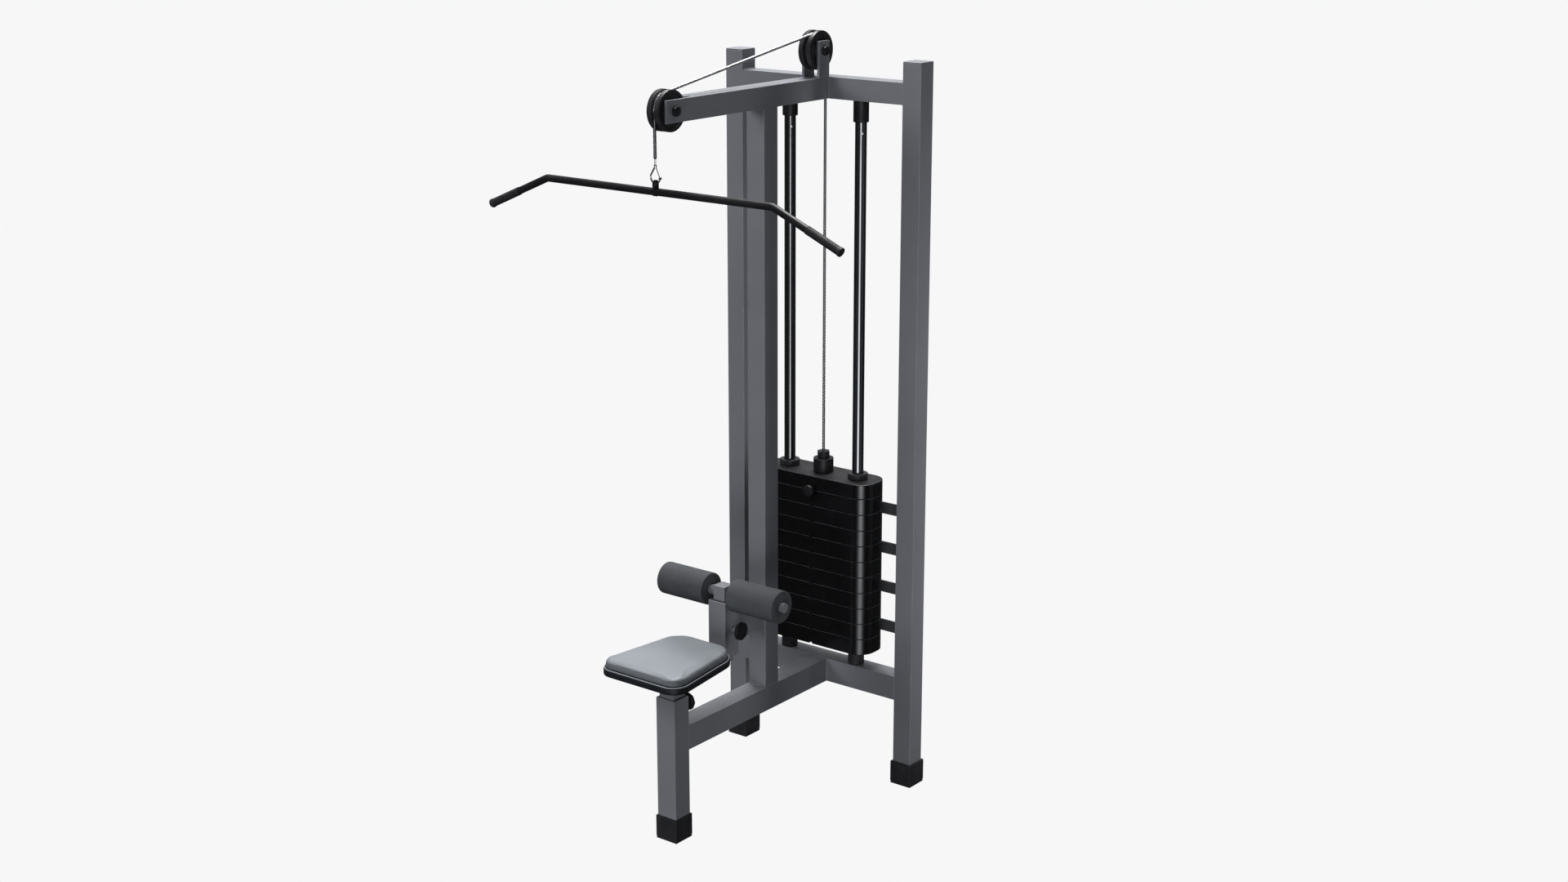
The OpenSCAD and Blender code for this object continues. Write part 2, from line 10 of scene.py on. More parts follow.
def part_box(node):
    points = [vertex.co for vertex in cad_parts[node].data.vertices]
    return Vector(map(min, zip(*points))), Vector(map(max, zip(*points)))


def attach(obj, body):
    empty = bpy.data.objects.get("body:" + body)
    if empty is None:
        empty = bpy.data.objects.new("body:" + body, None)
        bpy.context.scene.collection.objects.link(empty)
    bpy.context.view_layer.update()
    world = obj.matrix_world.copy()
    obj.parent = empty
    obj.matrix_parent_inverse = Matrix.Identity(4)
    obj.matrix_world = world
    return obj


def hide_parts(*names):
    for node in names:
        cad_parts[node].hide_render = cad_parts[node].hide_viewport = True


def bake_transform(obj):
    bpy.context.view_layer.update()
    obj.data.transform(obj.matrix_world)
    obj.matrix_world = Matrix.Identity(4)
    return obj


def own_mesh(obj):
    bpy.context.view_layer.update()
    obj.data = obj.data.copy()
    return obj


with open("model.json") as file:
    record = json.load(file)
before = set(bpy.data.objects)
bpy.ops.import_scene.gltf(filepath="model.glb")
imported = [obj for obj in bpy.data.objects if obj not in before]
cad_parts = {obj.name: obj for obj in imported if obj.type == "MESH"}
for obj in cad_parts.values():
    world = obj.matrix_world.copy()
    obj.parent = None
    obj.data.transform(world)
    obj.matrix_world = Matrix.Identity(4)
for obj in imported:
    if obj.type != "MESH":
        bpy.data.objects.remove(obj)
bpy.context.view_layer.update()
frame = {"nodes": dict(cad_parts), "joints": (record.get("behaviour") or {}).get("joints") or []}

SCENE = bpy.context.scene
NODES = frame["nodes"]

# -------- places, in metres


def middle(node):
    low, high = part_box(node)
    return (low + high) / 2


FRONT_PULLEY = middle("front_pulley")
REAR_PULLEY = middle("rear_pulley")
DROP_Y = middle("cable_ferrule").y
STACK_Y = middle("head_plate").y
THIGH = middle("roller_rod")
LEG = middle("front_leg")
PITCH_R = FRONT_PULLEY.y - DROP_Y
ROPE_R = 0.0041

# -------- camera


def assign(thing, **settings):
    """Sets several properties of a thing and returns it."""
    for key, value in settings.items():
        setattr(thing, key, value)
    return thing


def in_scene(name, data):
    """A new object in the scene, with this mesh, light or camera."""
    obj = bpy.data.objects.new(name, data)
    SCENE.collection.objects.link(obj)
    return obj


camera_data = assign(bpy.data.cameras.new("camera"), lens=50, sensor_width=36, clip_end=200)
camera = in_scene("camera", camera_data)
camera.location = (3.652, -4.5505, 2.7287)
camera.rotation_euler = (math.radians(90 - 15.728), 0, math.radians(37.573))
SCENE.camera = camera
SCENE.view_settings.view_transform = "Standard"

# -------- materials


class Nodes:
    """A short way to build the node tree of a material or a world."""

    def __init__(self, owner, coordinates="Object"):
        owner.use_nodes = True
        self.owner = owner
        self.tree = owner.node_tree
        self.coords = self.tree.nodes.new("ShaderNodeTexCoord").outputs[coordinates]

    def feed(self, value, socket):
        """A socket gets a number, a colour, a vector or another node's output."""
        if isinstance(value, tuple):
            socket.default_value = (*value, 1) if socket.type == "RGBA" else value
        elif isinstance(value, (int, float)):
            socket.default_value = value
        else:
            self.tree.links.new(value, socket)

    def add(self, kind, inputs, **settings):
        """A node; inputs maps the name or the number of a socket to what it gets."""
        made = assign(self.tree.nodes.new(kind), **settings)
        for key, value in inputs.items():
            self.feed(value, made.inputs[key])
        return made

    def noise(self, scale, detail, stretch=None, rough=0.55):
        at = self.coords
        if stretch:
            at = self.add("ShaderNodeMapping", {"Scale": stretch, "Vector": at}).outputs["Vector"]
        return self.add("ShaderNodeTexNoise", {"Scale": scale, "Detail": detail, "Roughness": rough,
                                               "Vector": at}).outputs["Fac"]

    def ramp(self, source, dark, light, start=0.30, stop=0.70):
        """source from start to stop becomes dark to light."""
        made = self.add("ShaderNodeValToRGB", {"Fac": source})
        for element, place, colour in zip(made.color_ramp.elements, (start, stop), (dark, light)):
            assign(element, position=place, color=(*colour, 1))
        return made.outputs["Color"]

    def span(self, source, low, high, a=0.3, b=0.7):
        """source between a and b becomes low to high."""
        return self.add("ShaderNodeMapRange", {"From Min": a, "From Max": b, "To Min": low, "To Max": high,
                                               "Value": source}).outputs["Result"]

    def mix(self, factor, a, b, blend="MIX"):
        return self.add("ShaderNodeMix", {"Factor": factor, 6: a, 7: b}, data_type="RGBA",
                        blend_type=blend).outputs[2]

    def bumps(self, *layers):
        """Each layer is (height, strength, distance)."""
        normal = {}
        for height, strength, distance in layers:
            made = self.add("ShaderNodeBump", {"Strength": strength, "Distance": distance, "Height": height,
                                               **normal})
            normal = {"Normal": made.outputs["Normal"]}
        self.feed(normal["Normal"], self.tree.nodes["Principled BSDF"].inputs["Normal"])

    def set(self, colour, rough, **sockets):
        """The material with these values on its shader."""
        for name, value in (("Base Color", colour), ("Roughness", rough), *sockets.items()):
            self.feed(value, self.tree.nodes["Principled BSDF"].inputs[name.replace("_", " ")])
        return self.owner


def material_nodes(name):
    return Nodes(bpy.data.materials.new(name))


def brighter(colour, factor):
    return tuple(c * factor for c in colour)


def paint(name, dark, light, metal, rough, worn=None):
    """Satin powder coat: fine orange peel, faint clouding, a few rubbed places."""
    n = material_nodes(name)
    base = n.ramp(n.noise(5, 4), dark, light)
    specks = n.noise(310, 2)
    base = n.mix(n.span(specks, 0.0, 0.12, 0.5, 0.7), base, brighter(light, 1.35))
    if worn:
        patches = n.noise(34, 6, rough=0.7)
        base = n.mix(n.span(patches, 0.0, 1.0, 0.56, 0.64), base, worn)
    peel, smudge = n.noise(420, 2), n.noise(11, 5, rough=0.6)
    n.bumps((peel, 0.08, 0.0004))
    return n.set(base, n.span(smudge, rough - 0.04, rough + 0.06), Metallic=metal)


def gloss(name, dark, light, rough, metal=0.0, scratch=0.05, stretch=(1, 1, 1), grain=60, level=0.5):
    """Smooth dark enamel or plastic with fine scratches and smudges."""
    n = material_nodes(name)
    cloud = n.noise(grain, 5, stretch=stretch)
    smudge = n.noise(13, 4, rough=0.65)
    base = n.ramp(cloud, dark, light, 0.35)
    n.bumps((n.noise(grain * 9, 3, stretch=stretch), scratch, 0.0004))
    return n.set(base, n.span(smudge, rough * 0.75, rough * 1.35), Metallic=metal,
                 Specular_IOR_Level=level)


def rubber(name, dark, light, rough, grain=900, depth=0.25):
    """Matt rubber or plastic with a fine grain and dusty places."""
    n = material_nodes(name)
    cloud = n.noise(25, 5)
    dust = n.noise(160, 4, rough=0.7)
    base = n.ramp(cloud, dark, light)
    base = n.mix(n.span(dust, 0.0, 0.35, 0.55, 0.72), base, brighter(light, 2.2))
    n.bumps((n.noise(grain, 3), depth, 0.0004))
    return n.set(base, n.span(dust, rough - 0.1, rough + 0.12), Specular_IOR_Level=0.35)


def steel(name, dark, light, rough, stretch, grain=90, bump=0.12):
    """Bare metal with lines along the way it was drawn or turned."""
    n = material_nodes(name)
    lines = n.noise(grain, 4, stretch=stretch, rough=0.65)
    base = n.ramp(lines, dark, light)
    n.bumps((lines, bump, 0.0003))
    return n.set(base, n.span(lines, rough - 0.06, rough + 0.10), Metallic=1.0)


def vinyl(name, dark, light, rough=0.42, grain=420):
    """Upholstery skin: cell-shaped leather grain with its dips painted darker as painted shade, soft tone
    variation.
    """
    n = material_nodes(name)
    wobbled = n.add("ShaderNodeMix", {"Factor": 0.03, 4: n.coords, 5: n.noise(grain * 0.5, 3)},
                    data_type="VECTOR").outputs[1]
    cells = n.add("ShaderNodeTexVoronoi", {"Scale": grain, "Vector": wobbled}, feature="SMOOTH_F1")
    cloud = n.noise(9, 5)
    rubbed = n.noise(3.2, 3)
    base = n.ramp(cloud, dark, light, 0.30, 0.72)
    base = n.mix(n.span(rubbed, 0.0, 0.25, 0.45, 0.7), base, brighter(light, 1.12))
    # The grain's dips are painted darker: painted shade.
    painted_valley_shade = n.span(cells.outputs["Distance"], 0.86, 1.06, 0.0, 0.7)
    shaded = n.mix(0.35, base, painted_valley_shade, "MULTIPLY")
    n.bumps((cells.outputs["Distance"], 0.35, 0.0006), (n.noise(40, 4), 0.10, 0.002))
    return n.set(shaded, n.span(cloud, rough - 0.06, rough + 0.10))


def foam(name, dark, light):
    """Closed-cell foam sleeve: pitted, uneven, matt."""
    n = material_nodes(name)
    pits = n.add("ShaderNodeTexVoronoi", {"Scale": 620, "Vector": n.coords}, feature="F1")
    blotch = n.noise(26, 6, rough=0.68)
    base = n.ramp(blotch, dark, light)
    base = n.mix(n.span(n.noise(5, 3), 0.0, 0.35, 0.45, 0.7), base, brighter(light, 1.18))
    n.bumps((pits.outputs["Distance"], 0.28, 0.0006), (n.noise(75, 5, rough=0.7), 0.35, 0.0018),
            (n.noise(14, 3), 0.30, 0.006))
    return n.set(base, n.span(blotch, 0.62, 0.85), Specular_IOR_Level=0.25)


PAINT_DARK, PAINT_LIGHT = (0.117, 0.122, 0.135), (0.130, 0.135, 0.149)
M = {
    "paint": paint("frame_paint", PAINT_DARK, PAINT_LIGHT, 0.05, 0.42),
    # Lighter paint on the frame's rolled edges: a painted highlight along the edges, with rubbed patches of
    # real wear.
    "paint_edge_highlight_and_wear": paint("frame_paint_edge_highlight_and_wear", (0.16, 0.165, 0.178), (0.19, 0.195, 0.208), 0.1, 0.38,
                        worn=(0.25, 0.253, 0.262)),
    "guard": paint("guard_paint", (0.052, 0.053, 0.057), (0.062, 0.063, 0.068), 0.05, 0.46),
    "iron": gloss("weight_enamel", (0.0016, 0.0017, 0.0020), (0.0030, 0.0031, 0.0035), 0.19),
    # Grey on the plates' rolled edges: a painted highlight for the light joint lines.
    "iron_edge_highlight": gloss("weight_enamel_edge_highlight", (0.017, 0.018, 0.020), (0.048, 0.050, 0.053), 0.24, grain=140),
    "iron_top": gloss("weight_enamel_top", (0.004, 0.004, 0.005), (0.008, 0.008, 0.009), 0.45, grain=90,
                      level=0.35),
    "rod": gloss("rod_black_chrome", (0.15, 0.154, 0.162), (0.23, 0.235, 0.245), 0.12, metal=1.0,
                 scratch=0.0, stretch=(1, 1, 0.05)),
    # Near white pins: bright zinc, lightened further as a painted glint.
    "pin": gloss("pin_zinc_painted_glint", (0.74, 0.75, 0.76), (0.88, 0.89, 0.90), 0.40, scratch=0.03),
    "collar": gloss("collar_enamel", (0.005, 0.005, 0.006), (0.010, 0.010, 0.011), 0.42, level=0.3),
    "pulley": gloss("pulley_nylon", (0.010, 0.010, 0.011), (0.018, 0.018, 0.020), 0.42, scratch=0.12),
    "bolt": gloss("bolt_black_oxide", (0.014, 0.014, 0.016), (0.030, 0.031, 0.034), 0.34, metal=0.5,
                  scratch=0.10),
    "knob": gloss("knob_plastic", (0.005, 0.005, 0.006), (0.011, 0.011, 0.013), 0.46, scratch=0.10,
                  level=0.22),
    "bar": gloss("bar_enamel", (0.005, 0.005, 0.006), (0.010, 0.010, 0.011), 0.40, stretch=(0.1, 1, 1),
                 level=0.3),
    "board": gloss("board_coat", (0.006, 0.007, 0.009), (0.012, 0.013, 0.016), 0.42, scratch=0.15,
                   level=0.25),
    "rubber": rubber("foot_rubber", (0.010, 0.010, 0.012), (0.018, 0.018, 0.021), 0.62),
    "bush": rubber("bush_plastic", (0.012, 0.012, 0.013), (0.020, 0.020, 0.022), 0.45, 500, 0.12),
    "grip": rubber("grip_rubber", (0.008, 0.008, 0.009), (0.014, 0.014, 0.016), 0.58, 700),
    "chrome": steel("bright_chrome", (0.55, 0.56, 0.58), (0.75, 0.76, 0.78), 0.16, (1, 1, 0.2), bump=0.03),
    "steel": steel("turned_steel", (0.42, 0.43, 0.45), (0.62, 0.63, 0.65), 0.30, (0.2, 1, 1)),
    "ferrule": steel("ferrule_steel", (0.09, 0.093, 0.10), (0.16, 0.165, 0.175), 0.36, (1, 1, 0.3)),
    "strand": steel("rope_strand", (0.50, 0.51, 0.52), (0.72, 0.73, 0.74), 0.42, (1, 1, 1), 700, 0.2),
    # Near black between the strands: painted shade in the rope's valleys.
    "strand_gap_shade": gloss("rope_gap_painted_shade", (0.006, 0.006, 0.007), (0.016, 0.016, 0.017), 0.5, level=0.2),
    "vinyl": vinyl("seat_vinyl", (0.127, 0.140, 0.153), (0.148, 0.161, 0.175)),
    # Piping lighter than the pad: real piping whose light tone is partly a painted highlight along the
    # board's top edge.
    "piping_highlight": vinyl("piping_vinyl_highlight", (0.17, 0.185, 0.20), (0.21, 0.225, 0.24), 0.45, 700),
    # Darker skin on the pad's sides: painted shade.
    "side_shade": vinyl("seat_side_shade_vinyl", (0.072, 0.078, 0.086), (0.086, 0.093, 0.102), 0.5),
    "foam": foam("roller_foam", (0.032, 0.034, 0.038), (0.046, 0.049, 0.053)),
}

# -------- mesh helpers


def smooth(obj, angle):
    mesh = obj.data
    mesh.polygons.foreach_set("use_smooth", [True] * len(mesh.polygons))
    mesh.set_sharp_from_angle(angle=math.radians(angle))


def new_mesh(name, verts, faces, materials, which=None, angle=35):
    """A mesh object from points and faces; which gives each face's material index."""
    mesh = bpy.data.meshes.new(name)
    mesh.from_pydata([tuple(v) for v in verts], [], [tuple(f) for f in faces])
    for material in materials:
        mesh.materials.append(M[material])
    if which is not None:
        mesh.polygons.foreach_set("material_index", which)
    outward = bmesh.new()
    outward.from_mesh(mesh)
    bmesh.ops.recalc_face_normals(outward, faces=outward.faces)
    outward.to_mesh(mesh)
    outward.free()
    obj = in_scene(name, mesh)
    smooth(obj, angle)
    return obj


def loft(rings, closed=False, pick=None):
    """Points, faces and material indices of a skin over rings of equal count, open ends capped.

    pick(j) is the material index of the faces that follow point j of each ring.
    """
    n, count = len(rings[0]), len(rings)
    verts = [p for ring in rings for p in ring]
    faces, which = [], []
    for i in range(count if closed else count - 1):
        a, b = i * n, ((i + 1) % count) * n
        for j in range(n):
            k = (j + 1) % n
            faces.append((a + j, a + k, b + k, b + j))
            which.append(pick(j) if pick else 0)
    if not closed:
        faces += [tuple(range(n))[::-1], tuple(range((count - 1) * n, count * n))]
        which += [0, 0]
    return verts, faces, which


def merge(parts):
    """Several (points, faces, material indices) as one."""
    verts, faces, which = [], [], []
    for v, f, w in parts:
        base = len(verts)
        verts += list(v)
        faces += [tuple(i + base for i in face) for face in f]
        which += list(w)
    return verts, faces, which


def lathe_axes(axis):
    """A unit axis, and for each angle the direction out from it."""
    axis = Vector(axis).normalized()
    side = axis.orthogonal().normalized()
    other = axis.cross(side)
    return axis, lambda a: side * math.cos(a) + other * math.sin(a)


def turned(profile, origin, axis, steps):
    """A lathe shape: profile is (radius, distance along axis) points, closed on itself."""
    axis, out = lathe_axes(axis)
    rings = []
    for i in range(steps):
        away = out(2 * math.pi * i / steps)
        rings.append([Vector(origin) + away * r + axis * h for r, h in profile])
    return loft(rings, closed=True)


def solid_turned(profile, origin, axis, steps, wobble=None):
    """A lathe shape with flat ends at its first and last profile points."""
    axis, out = lathe_axes(axis)
    rings = []
    for r, h in profile:
        ring = []
        for i in range(steps):
            a = 2 * math.pi * i / steps
            scale = wobble(a) if wobble else 1.0
            ring.append(Vector(origin) + out(a) * (r * scale) + axis * h)
        rings.append(ring)
    return loft(rings)


def along(points):
    """Lengths to each point of a path."""
    total, out = 0.0, [0.0]
    for a, b in zip(points, points[1:]):
        total += (b - a).length
        out.append(total)
    return out


def sweep(points, section, twist=None, closed=False, first=None, pick=None):
    """section(i) gives 2-D points carried along a path without twisting, plus twist(i)."""
    points = [Vector(p) for p in points]
    count = len(points)
    tangents = []
    for i in range(count):
        a = points[(i - 1) % count] if closed or i else points[0]
        b = points[(i + 1) % count] if closed or i < count - 1 else points[-1]
        tangents.append((b - a).normalized())
    side = Vector(first) if first else tangents[0].orthogonal().normalized()
    rings = []
    for i in range(count):
        t = tangents[i]
        side = (side - t * side.dot(t)).normalized()
        up = t.cross(side)
        spin = twist(i) if twist else 0.0
        c, s = math.cos(spin), math.sin(spin)
        rings.append([points[i] + side * (x * c - y * s) + up * (x * s + y * c) for x, y in section(i)])
    return loft(rings, closed=closed, pick=pick)


def circle(r, steps):
    turns = [2 * math.pi * j / steps for j in range(steps)]
    return [(r * math.cos(a), r * math.sin(a)) for a in turns]


def round_angles(count):
    """count angles once round, from 0."""
    return np.linspace(0, 2 * math.pi, count + 1)[:-1]


def rounded_path(corners, radius, spacing):
    """A polyline with its corners turned to arcs, cut into short steps."""
    corners = [Vector(p) for p in corners]
    out = [corners[0]]
    for before, corner, after in zip(corners, corners[1:], corners[2:]):
        a, b = (before - corner).normalized(), (after - corner).normalized()
        turn = math.pi - a.angle(b)
        back = radius * math.tan(turn / 2)
        start, end = corner + a * back, corner + b * back
        steps = max(4, int(radius * turn / spacing))
        centre = corner + (a + b).normalized() * (radius / math.cos(turn / 2))
        u, v = (start - centre), (end - centre)
        for i in range(steps + 1):
            f = i / steps
            mixed = (u * math.sin((1 - f) * turn) + v * math.sin(f * turn)) / math.sin(turn)
            out.append(centre + mixed)
    out.append(corners[-1])
    fine = [out[0]]
    for a, b in zip(out, out[1:]):
        steps = max(1, int((b - a).length / spacing))
        fine += [a.lerp(b, i / steps) for i in range(1, steps + 1)]
    return fine


def place(obj, body, slot, *nodes):
    """obj rides on body, in place of the CAD nodes named; slot is not used."""
    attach(obj, body)
    if nodes:
        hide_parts(*nodes)


def piece(name, parts, material, angle, body, slot, *nodes):
    """A mesh of one material, placed."""
    verts, faces, _which = parts
    place(new_mesh(name, verts, faces, [material], angle=angle), body, slot, *nodes)


def dress(node, material, width=0.0, edge=None):
    """A CAD node keeps its shape and gets its material, and with a width also rolled edges."""
    obj = NODES[node]
    mesh = obj.data
    mesh.materials.clear()
    mesh.materials.append(M[material])
    mesh.materials.append(M[edge or material])
    mesh.polygons.foreach_set("material_index", [0] * len(mesh.polygons))
    if width:
        assign(obj.modifiers.new("weld", "WELD"), merge_threshold=0.00001)
        assign(obj.modifiers.new("edges", "BEVEL"), width=width, segments=2, limit_method="ANGLE",
               angle_limit=math.radians(40), material=1, harden_normals=False, use_clamp_overlap=True)
    smooth(obj, 30)
    assign(obj.modifiers.new("flats", "WEIGHTED_NORMAL"), keep_sharp=True)


# -------- carried-over CAD nodes

# The frame's rolled edges get the lighter edge paint: a painted highlight, with real wear patches.
for node_name in ("left_post", "right_post", "post_caps", "upper_crossbeam", "boom", "column", "lower_beam",
                  "lower_crossbeam", "front_leg", "pulley_brackets", "thigh_bracket", "thigh_sleeve",
                  "thigh_post", "seat_post"):
    dress(node_name, "paint", 0.0013, "paint_edge_highlight_and_wear")
dress("roller_rod", "paint", 0.0015, "paint_edge_highlight_and_wear")
for node_name, material_name, edge_width in (
        ("guard_bars", "guard", 0.0008), ("guide_rod_left", "rod", 0.0), ("guide_rod_right", "rod", 0.0),
        ("rod_collars", "collar", 0.0015), ("selector_rod", "collar", 0.0018), ("cable_nut", "bolt", 0.001),
        ("guide_bushings", "bush", 0.0015), ("tube_bushes", "bush", 0.0008),
        ("stack_bumpers", "rubber", 0.002), ("pulley_spacers", "steel", 0.0006),
        ("front_bearings", "steel", 0.0006), ("rear_bearings", "steel", 0.0006),
        ("seat_screws", "bolt", 0.0006)):
    dress(node_name, material_name, edge_width)

# -------- rope

# Six round strands in 36 points: a crest at every sixth point and a valley halfway between.
STRANDS, SECTION_POINTS = 6, 36
# One turn of the strands round the rope takes this length.
LAY = 0.054


def strand_section():
    out = []
    for j in range(SECTION_POINTS):
        a = 2 * math.pi * j / SECTION_POINTS
        r = ROPE_R * (0.80 + 0.20 * abs(math.cos(STRANDS / 2 * a)) ** 0.8)
        out.append((r * math.cos(a), r * math.sin(a)))
    return out


# The faces among a strand's six that are painted dark: painted shade in the gaps between strands.
NARROW_SHADE, WIDE_SHADE = (2, 3), (1, 2, 3, 4)


def rope(name, points, painted_valley_shade, lengths):
    """A rope along points; lengths tell how far along its lay each point is. The faces in the strands'
    valleys are painted dark as painted shade.
    """
    section = strand_section()
    v, f, w = sweep(points, lambda i: section, lambda i: 2 * math.pi * lengths[i] / LAY, first=(1, 0, 0),
                    pick=lambda j: 1 if j % 6 in painted_valley_shade else 0)
    return new_mesh(name, v, f, ["strand", "strand_gap_shade"], w, angle=60)


def straight(a, b, spacing):
    a, b = Vector(a), Vector(b)
    steps = max(2, int((b - a).length / spacing))
    return [a.lerp(b, i / steps) for i in range(steps + 1)]


run = REAR_PULLEY - FRONT_PULLEY
tangent = math.pi / 2 + math.atan2(run.z, run.y)


def on_pulley(centre, angle):
    return centre + Vector((0, PITCH_R * math.cos(angle), PITCH_R * math.sin(angle)))


over = [on_pulley(REAR_PULLEY, tangent * i / 48) for i in range(49)]
over += straight(on_pulley(REAR_PULLEY, tangent), on_pulley(FRONT_PULLEY, tangent), 0.003)[1:]
over += [on_pulley(FRONT_PULLEY, tangent + (math.pi - tangent) * i / 40) for i in range(1, 41)]
place(rope("rope_over", over, NARROW_SHADE, along(over)), "frame", "cable_steel", "cable_over")

nut_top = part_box("cable_rear")[0].z
rear_run = straight((0, STACK_Y, nut_top), (0, STACK_Y, REAR_PULLEY.z), 0.0025)
rear_rope = rope("rope_rear", rear_run, WIDE_SHADE, along(rear_run))
place(rear_rope, "frame", "cable_steel", "cable_rear")
LIFT = next(j for j in frame["joints"] if j["name"] == "stack_lift")["range_m"][1]
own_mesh(rear_rope)

# The front stretch stands at its rest length, but is twisted for its pulled length, the extra twist packed
# most in the middle.
ferrule_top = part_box("cable_front")[0].z
rest_length = FRONT_PULLEY.z - ferrule_top
front_run, drawn = [], []
FRONT_STEPS = 300
for i in range(FRONT_STEPS + 1):
    t = i / FRONT_STEPS
    front_run.append(Vector((0, DROP_Y, FRONT_PULLEY.z - rest_length * t)))
    drawn.append(rest_length * t + LIFT * t * t * (3 - 2 * t))
front_rope = rope("rope_front", front_run, NARROW_SHADE, drawn)
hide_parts("cable_front")
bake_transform(front_rope)

# -------- ferrule, hook, bar

low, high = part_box("cable_ferrule")
height = high.z - low.z
r = (high.x - low.x) / 2
profile = [(r * 0.45, 0), (r * 0.72, 0.0004), (r * 0.96, 0.0022), (r, 0.004)]
for i in range(5):
    z = 0.018 + i * 0.014
    profile += [(r, z), (r * 0.95, z + 0.0012), (r * 0.95, z + 0.0068), (r, z + 0.008)]
profile += [(r, height - 0.004), (r * 0.96, height - 0.0022), (r * 0.86, height - 0.0006),
            (r * 0.8, height)]
piece("ferrule", solid_turned(profile, (0, DROP_Y, low.z), (0, 0, 1), 40), "ferrule", 40, "cable_end",
      "cable_steel", "cable_ferrule")

EYE_Z = 1.850
NECK_Z = 1.894
HOOK_R = 0.016
WIRE_R = 0.00225
GATE_R = 0.00115
hook_centre = Vector((0, DROP_Y, EYE_Z + HOOK_R))


def hook_point(degrees):
    a = math.radians(degrees)
    return hook_centre + Vector((HOOK_R * math.cos(a), 0, HOOK_R * math.sin(a)))


neck = Vector((0, DROP_Y, NECK_Z))
shank_top = Vector((0, DROP_Y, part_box("snap_hook")[1].z))
left_top = Vector((-HOOK_R * 0.98, DROP_Y, EYE_Z + HOOK_R + 0.004))
wire_path = rounded_path([shank_top, neck, left_top], 0.004, 0.0012)
wire_path += [hook_point(a) for a in range(188, 352, 4)]
wire = sweep(wire_path, lambda i: circle(WIRE_R, 20), first=(0, 1, 0))
tip = hook_point(351)
gate_path = [tip + (neck + Vector((0.0012, 0, -0.001)) - tip) * i / 12 for i in range(13)]
gate = sweep(gate_path, lambda i: circle(GATE_R, 14), first=(0, 1, 0))
knuckle = solid_turned([(0.0012, -0.0036), (0.0030, -0.0032), (0.0033, -0.0024), (0.0033, 0.0024),
                        (0.0030, 0.0032), (0.0012, 0.0036)], tip, (0, 1, 0), 24)
swivel = solid_turned([(0.0020, -0.0045), (0.0034, -0.0040), (0.0036, -0.003), (0.0036, 0.002),
                       (0.0032, 0.0035), (0.0022, 0.0045)], neck, (0, 0, 1), 28)
piece("hook", merge([wire, gate, knuckle, swivel]), "chrome", 45, "hook", "hook_chrome", "snap_hook")

BAR_R = 0.010
BAR_Z = 1.828
BEND_X = 0.381
END = 0.229
BEND_R = 0.028
DROOP = math.radians(23.15)
down = Vector((math.cos(DROOP), 0, -math.sin(DROOP)))
bend = Vector((BEND_X, DROP_Y, BAR_Z))
right_end = bend + down * (END - 0.003)
mirror_x = Matrix.Scale(-1, 4, (1, 0, 0))
bar_path = rounded_path([mirror_x @ right_end, mirror_x @ bend, bend, right_end], BEND_R, 0.006)
tube = sweep(bar_path, lambda i: circle(BAR_R, 28), first=(0, 1, 0))
# The lug: a flat strap standing on the bar, round at its top and drilled for the hook.
LUG_X, LUG_Y, HOLE_R, LUG_EDGE = 0.004, 0.009, 0.005, 0.0009
LUG_STEPS = 48
hole_z = EYE_Z - 0.0019
inner = [(HOLE_R * math.sin(a), hole_z + HOLE_R * math.cos(a)) for a in round_angles(LUG_STEPS)]


def lug_point(a):
    """The lug's outline: a half circle round the eye, then straight sides down to the bar's middle."""
    y, up = LUG_Y * math.sin(a), math.cos(a)
    if EYE_Z + LUG_Y * up > EYE_Z:
        return y, EYE_Z + LUG_Y * up
    side = math.copysign(LUG_Y, y) if abs(y) > 1e-6 else 0.0
    return side, EYE_Z + min(up, 0.0) * (EYE_Z - BAR_Z)


def lug_ring(points, x, pull=0.0):
    """A ring across the lug at x, pulled in towards the hole by a share of its size."""
    return [Vector((x, DROP_Y + y - y * pull, z + (hole_z - z) * pull)) for y, z in points]


outer = [lug_point(a) for a in round_angles(LUG_STEPS)]
lug = loft([lug_ring(inner, -LUG_X), lug_ring(outer, -LUG_X, 0.08), lug_ring(outer, -LUG_X + LUG_EDGE),
            lug_ring(outer, LUG_X - LUG_EDGE), lug_ring(outer, LUG_X, 0.08), lug_ring(inner, LUG_X)],
           closed=True)
LUG_BEAD_R = 0.0016
bar_beads = []
for x in (LUG_X, -LUG_X):
    rim = [(BAR_R + 0.0002 + LUG_BEAD_R * math.cos(a), LUG_BEAD_R * math.sin(a) + x)
           for a in round_angles(10)]
    bar_beads.append(turned(rim, (0, DROP_Y, BAR_Z), (1, 0, 0), 40))
piece("bar", merge([tube, lug, *bar_beads]), "bar", 40, "bar", "bar_black", "lat_bar")

# Grips: ribbed rubber sleeves with a rolled end.
GRIP_FROM = 0.115
GRIP_R = BAR_R + 0.0013
RIB_R = BAR_R + 0.0008
RIB_PITCH = 0.0036
outline = [(BAR_R * 0.7, GRIP_FROM), (BAR_R + 0.0006, GRIP_FROM), (GRIP_R, GRIP_FROM + 0.001)]
at = GRIP_FROM + 0.003
while at < END - 0.012:
    outline += [(GRIP_R, at), (RIB_R, at + 0.0008), (RIB_R, at + 0.0014), (GRIP_R, at + 0.0022)]
    at += RIB_PITCH
outline += [(GRIP_R, END - 0.0065), (BAR_R + 0.0024, END - 0.0055), (BAR_R + 0.0025, END - 0.0012),
            (BAR_R + 0.0019, END + 0.0003), (BAR_R * 0.8, END + 0.0010), (BAR_R * 0.35, END + 0.0008),
            (BAR_R * 0.30, END + 0.0003)]
grip_pair = [solid_turned(outline, (bend.x * sign, bend.y, bend.z), (down.x * sign, 0, down.z), 40)
             for sign in (1, -1)]
piece("grips", merge(grip_pair), "grip", 50, "bar", "grip_rubber", "bar_grips")

# -------- pulleys and bolts


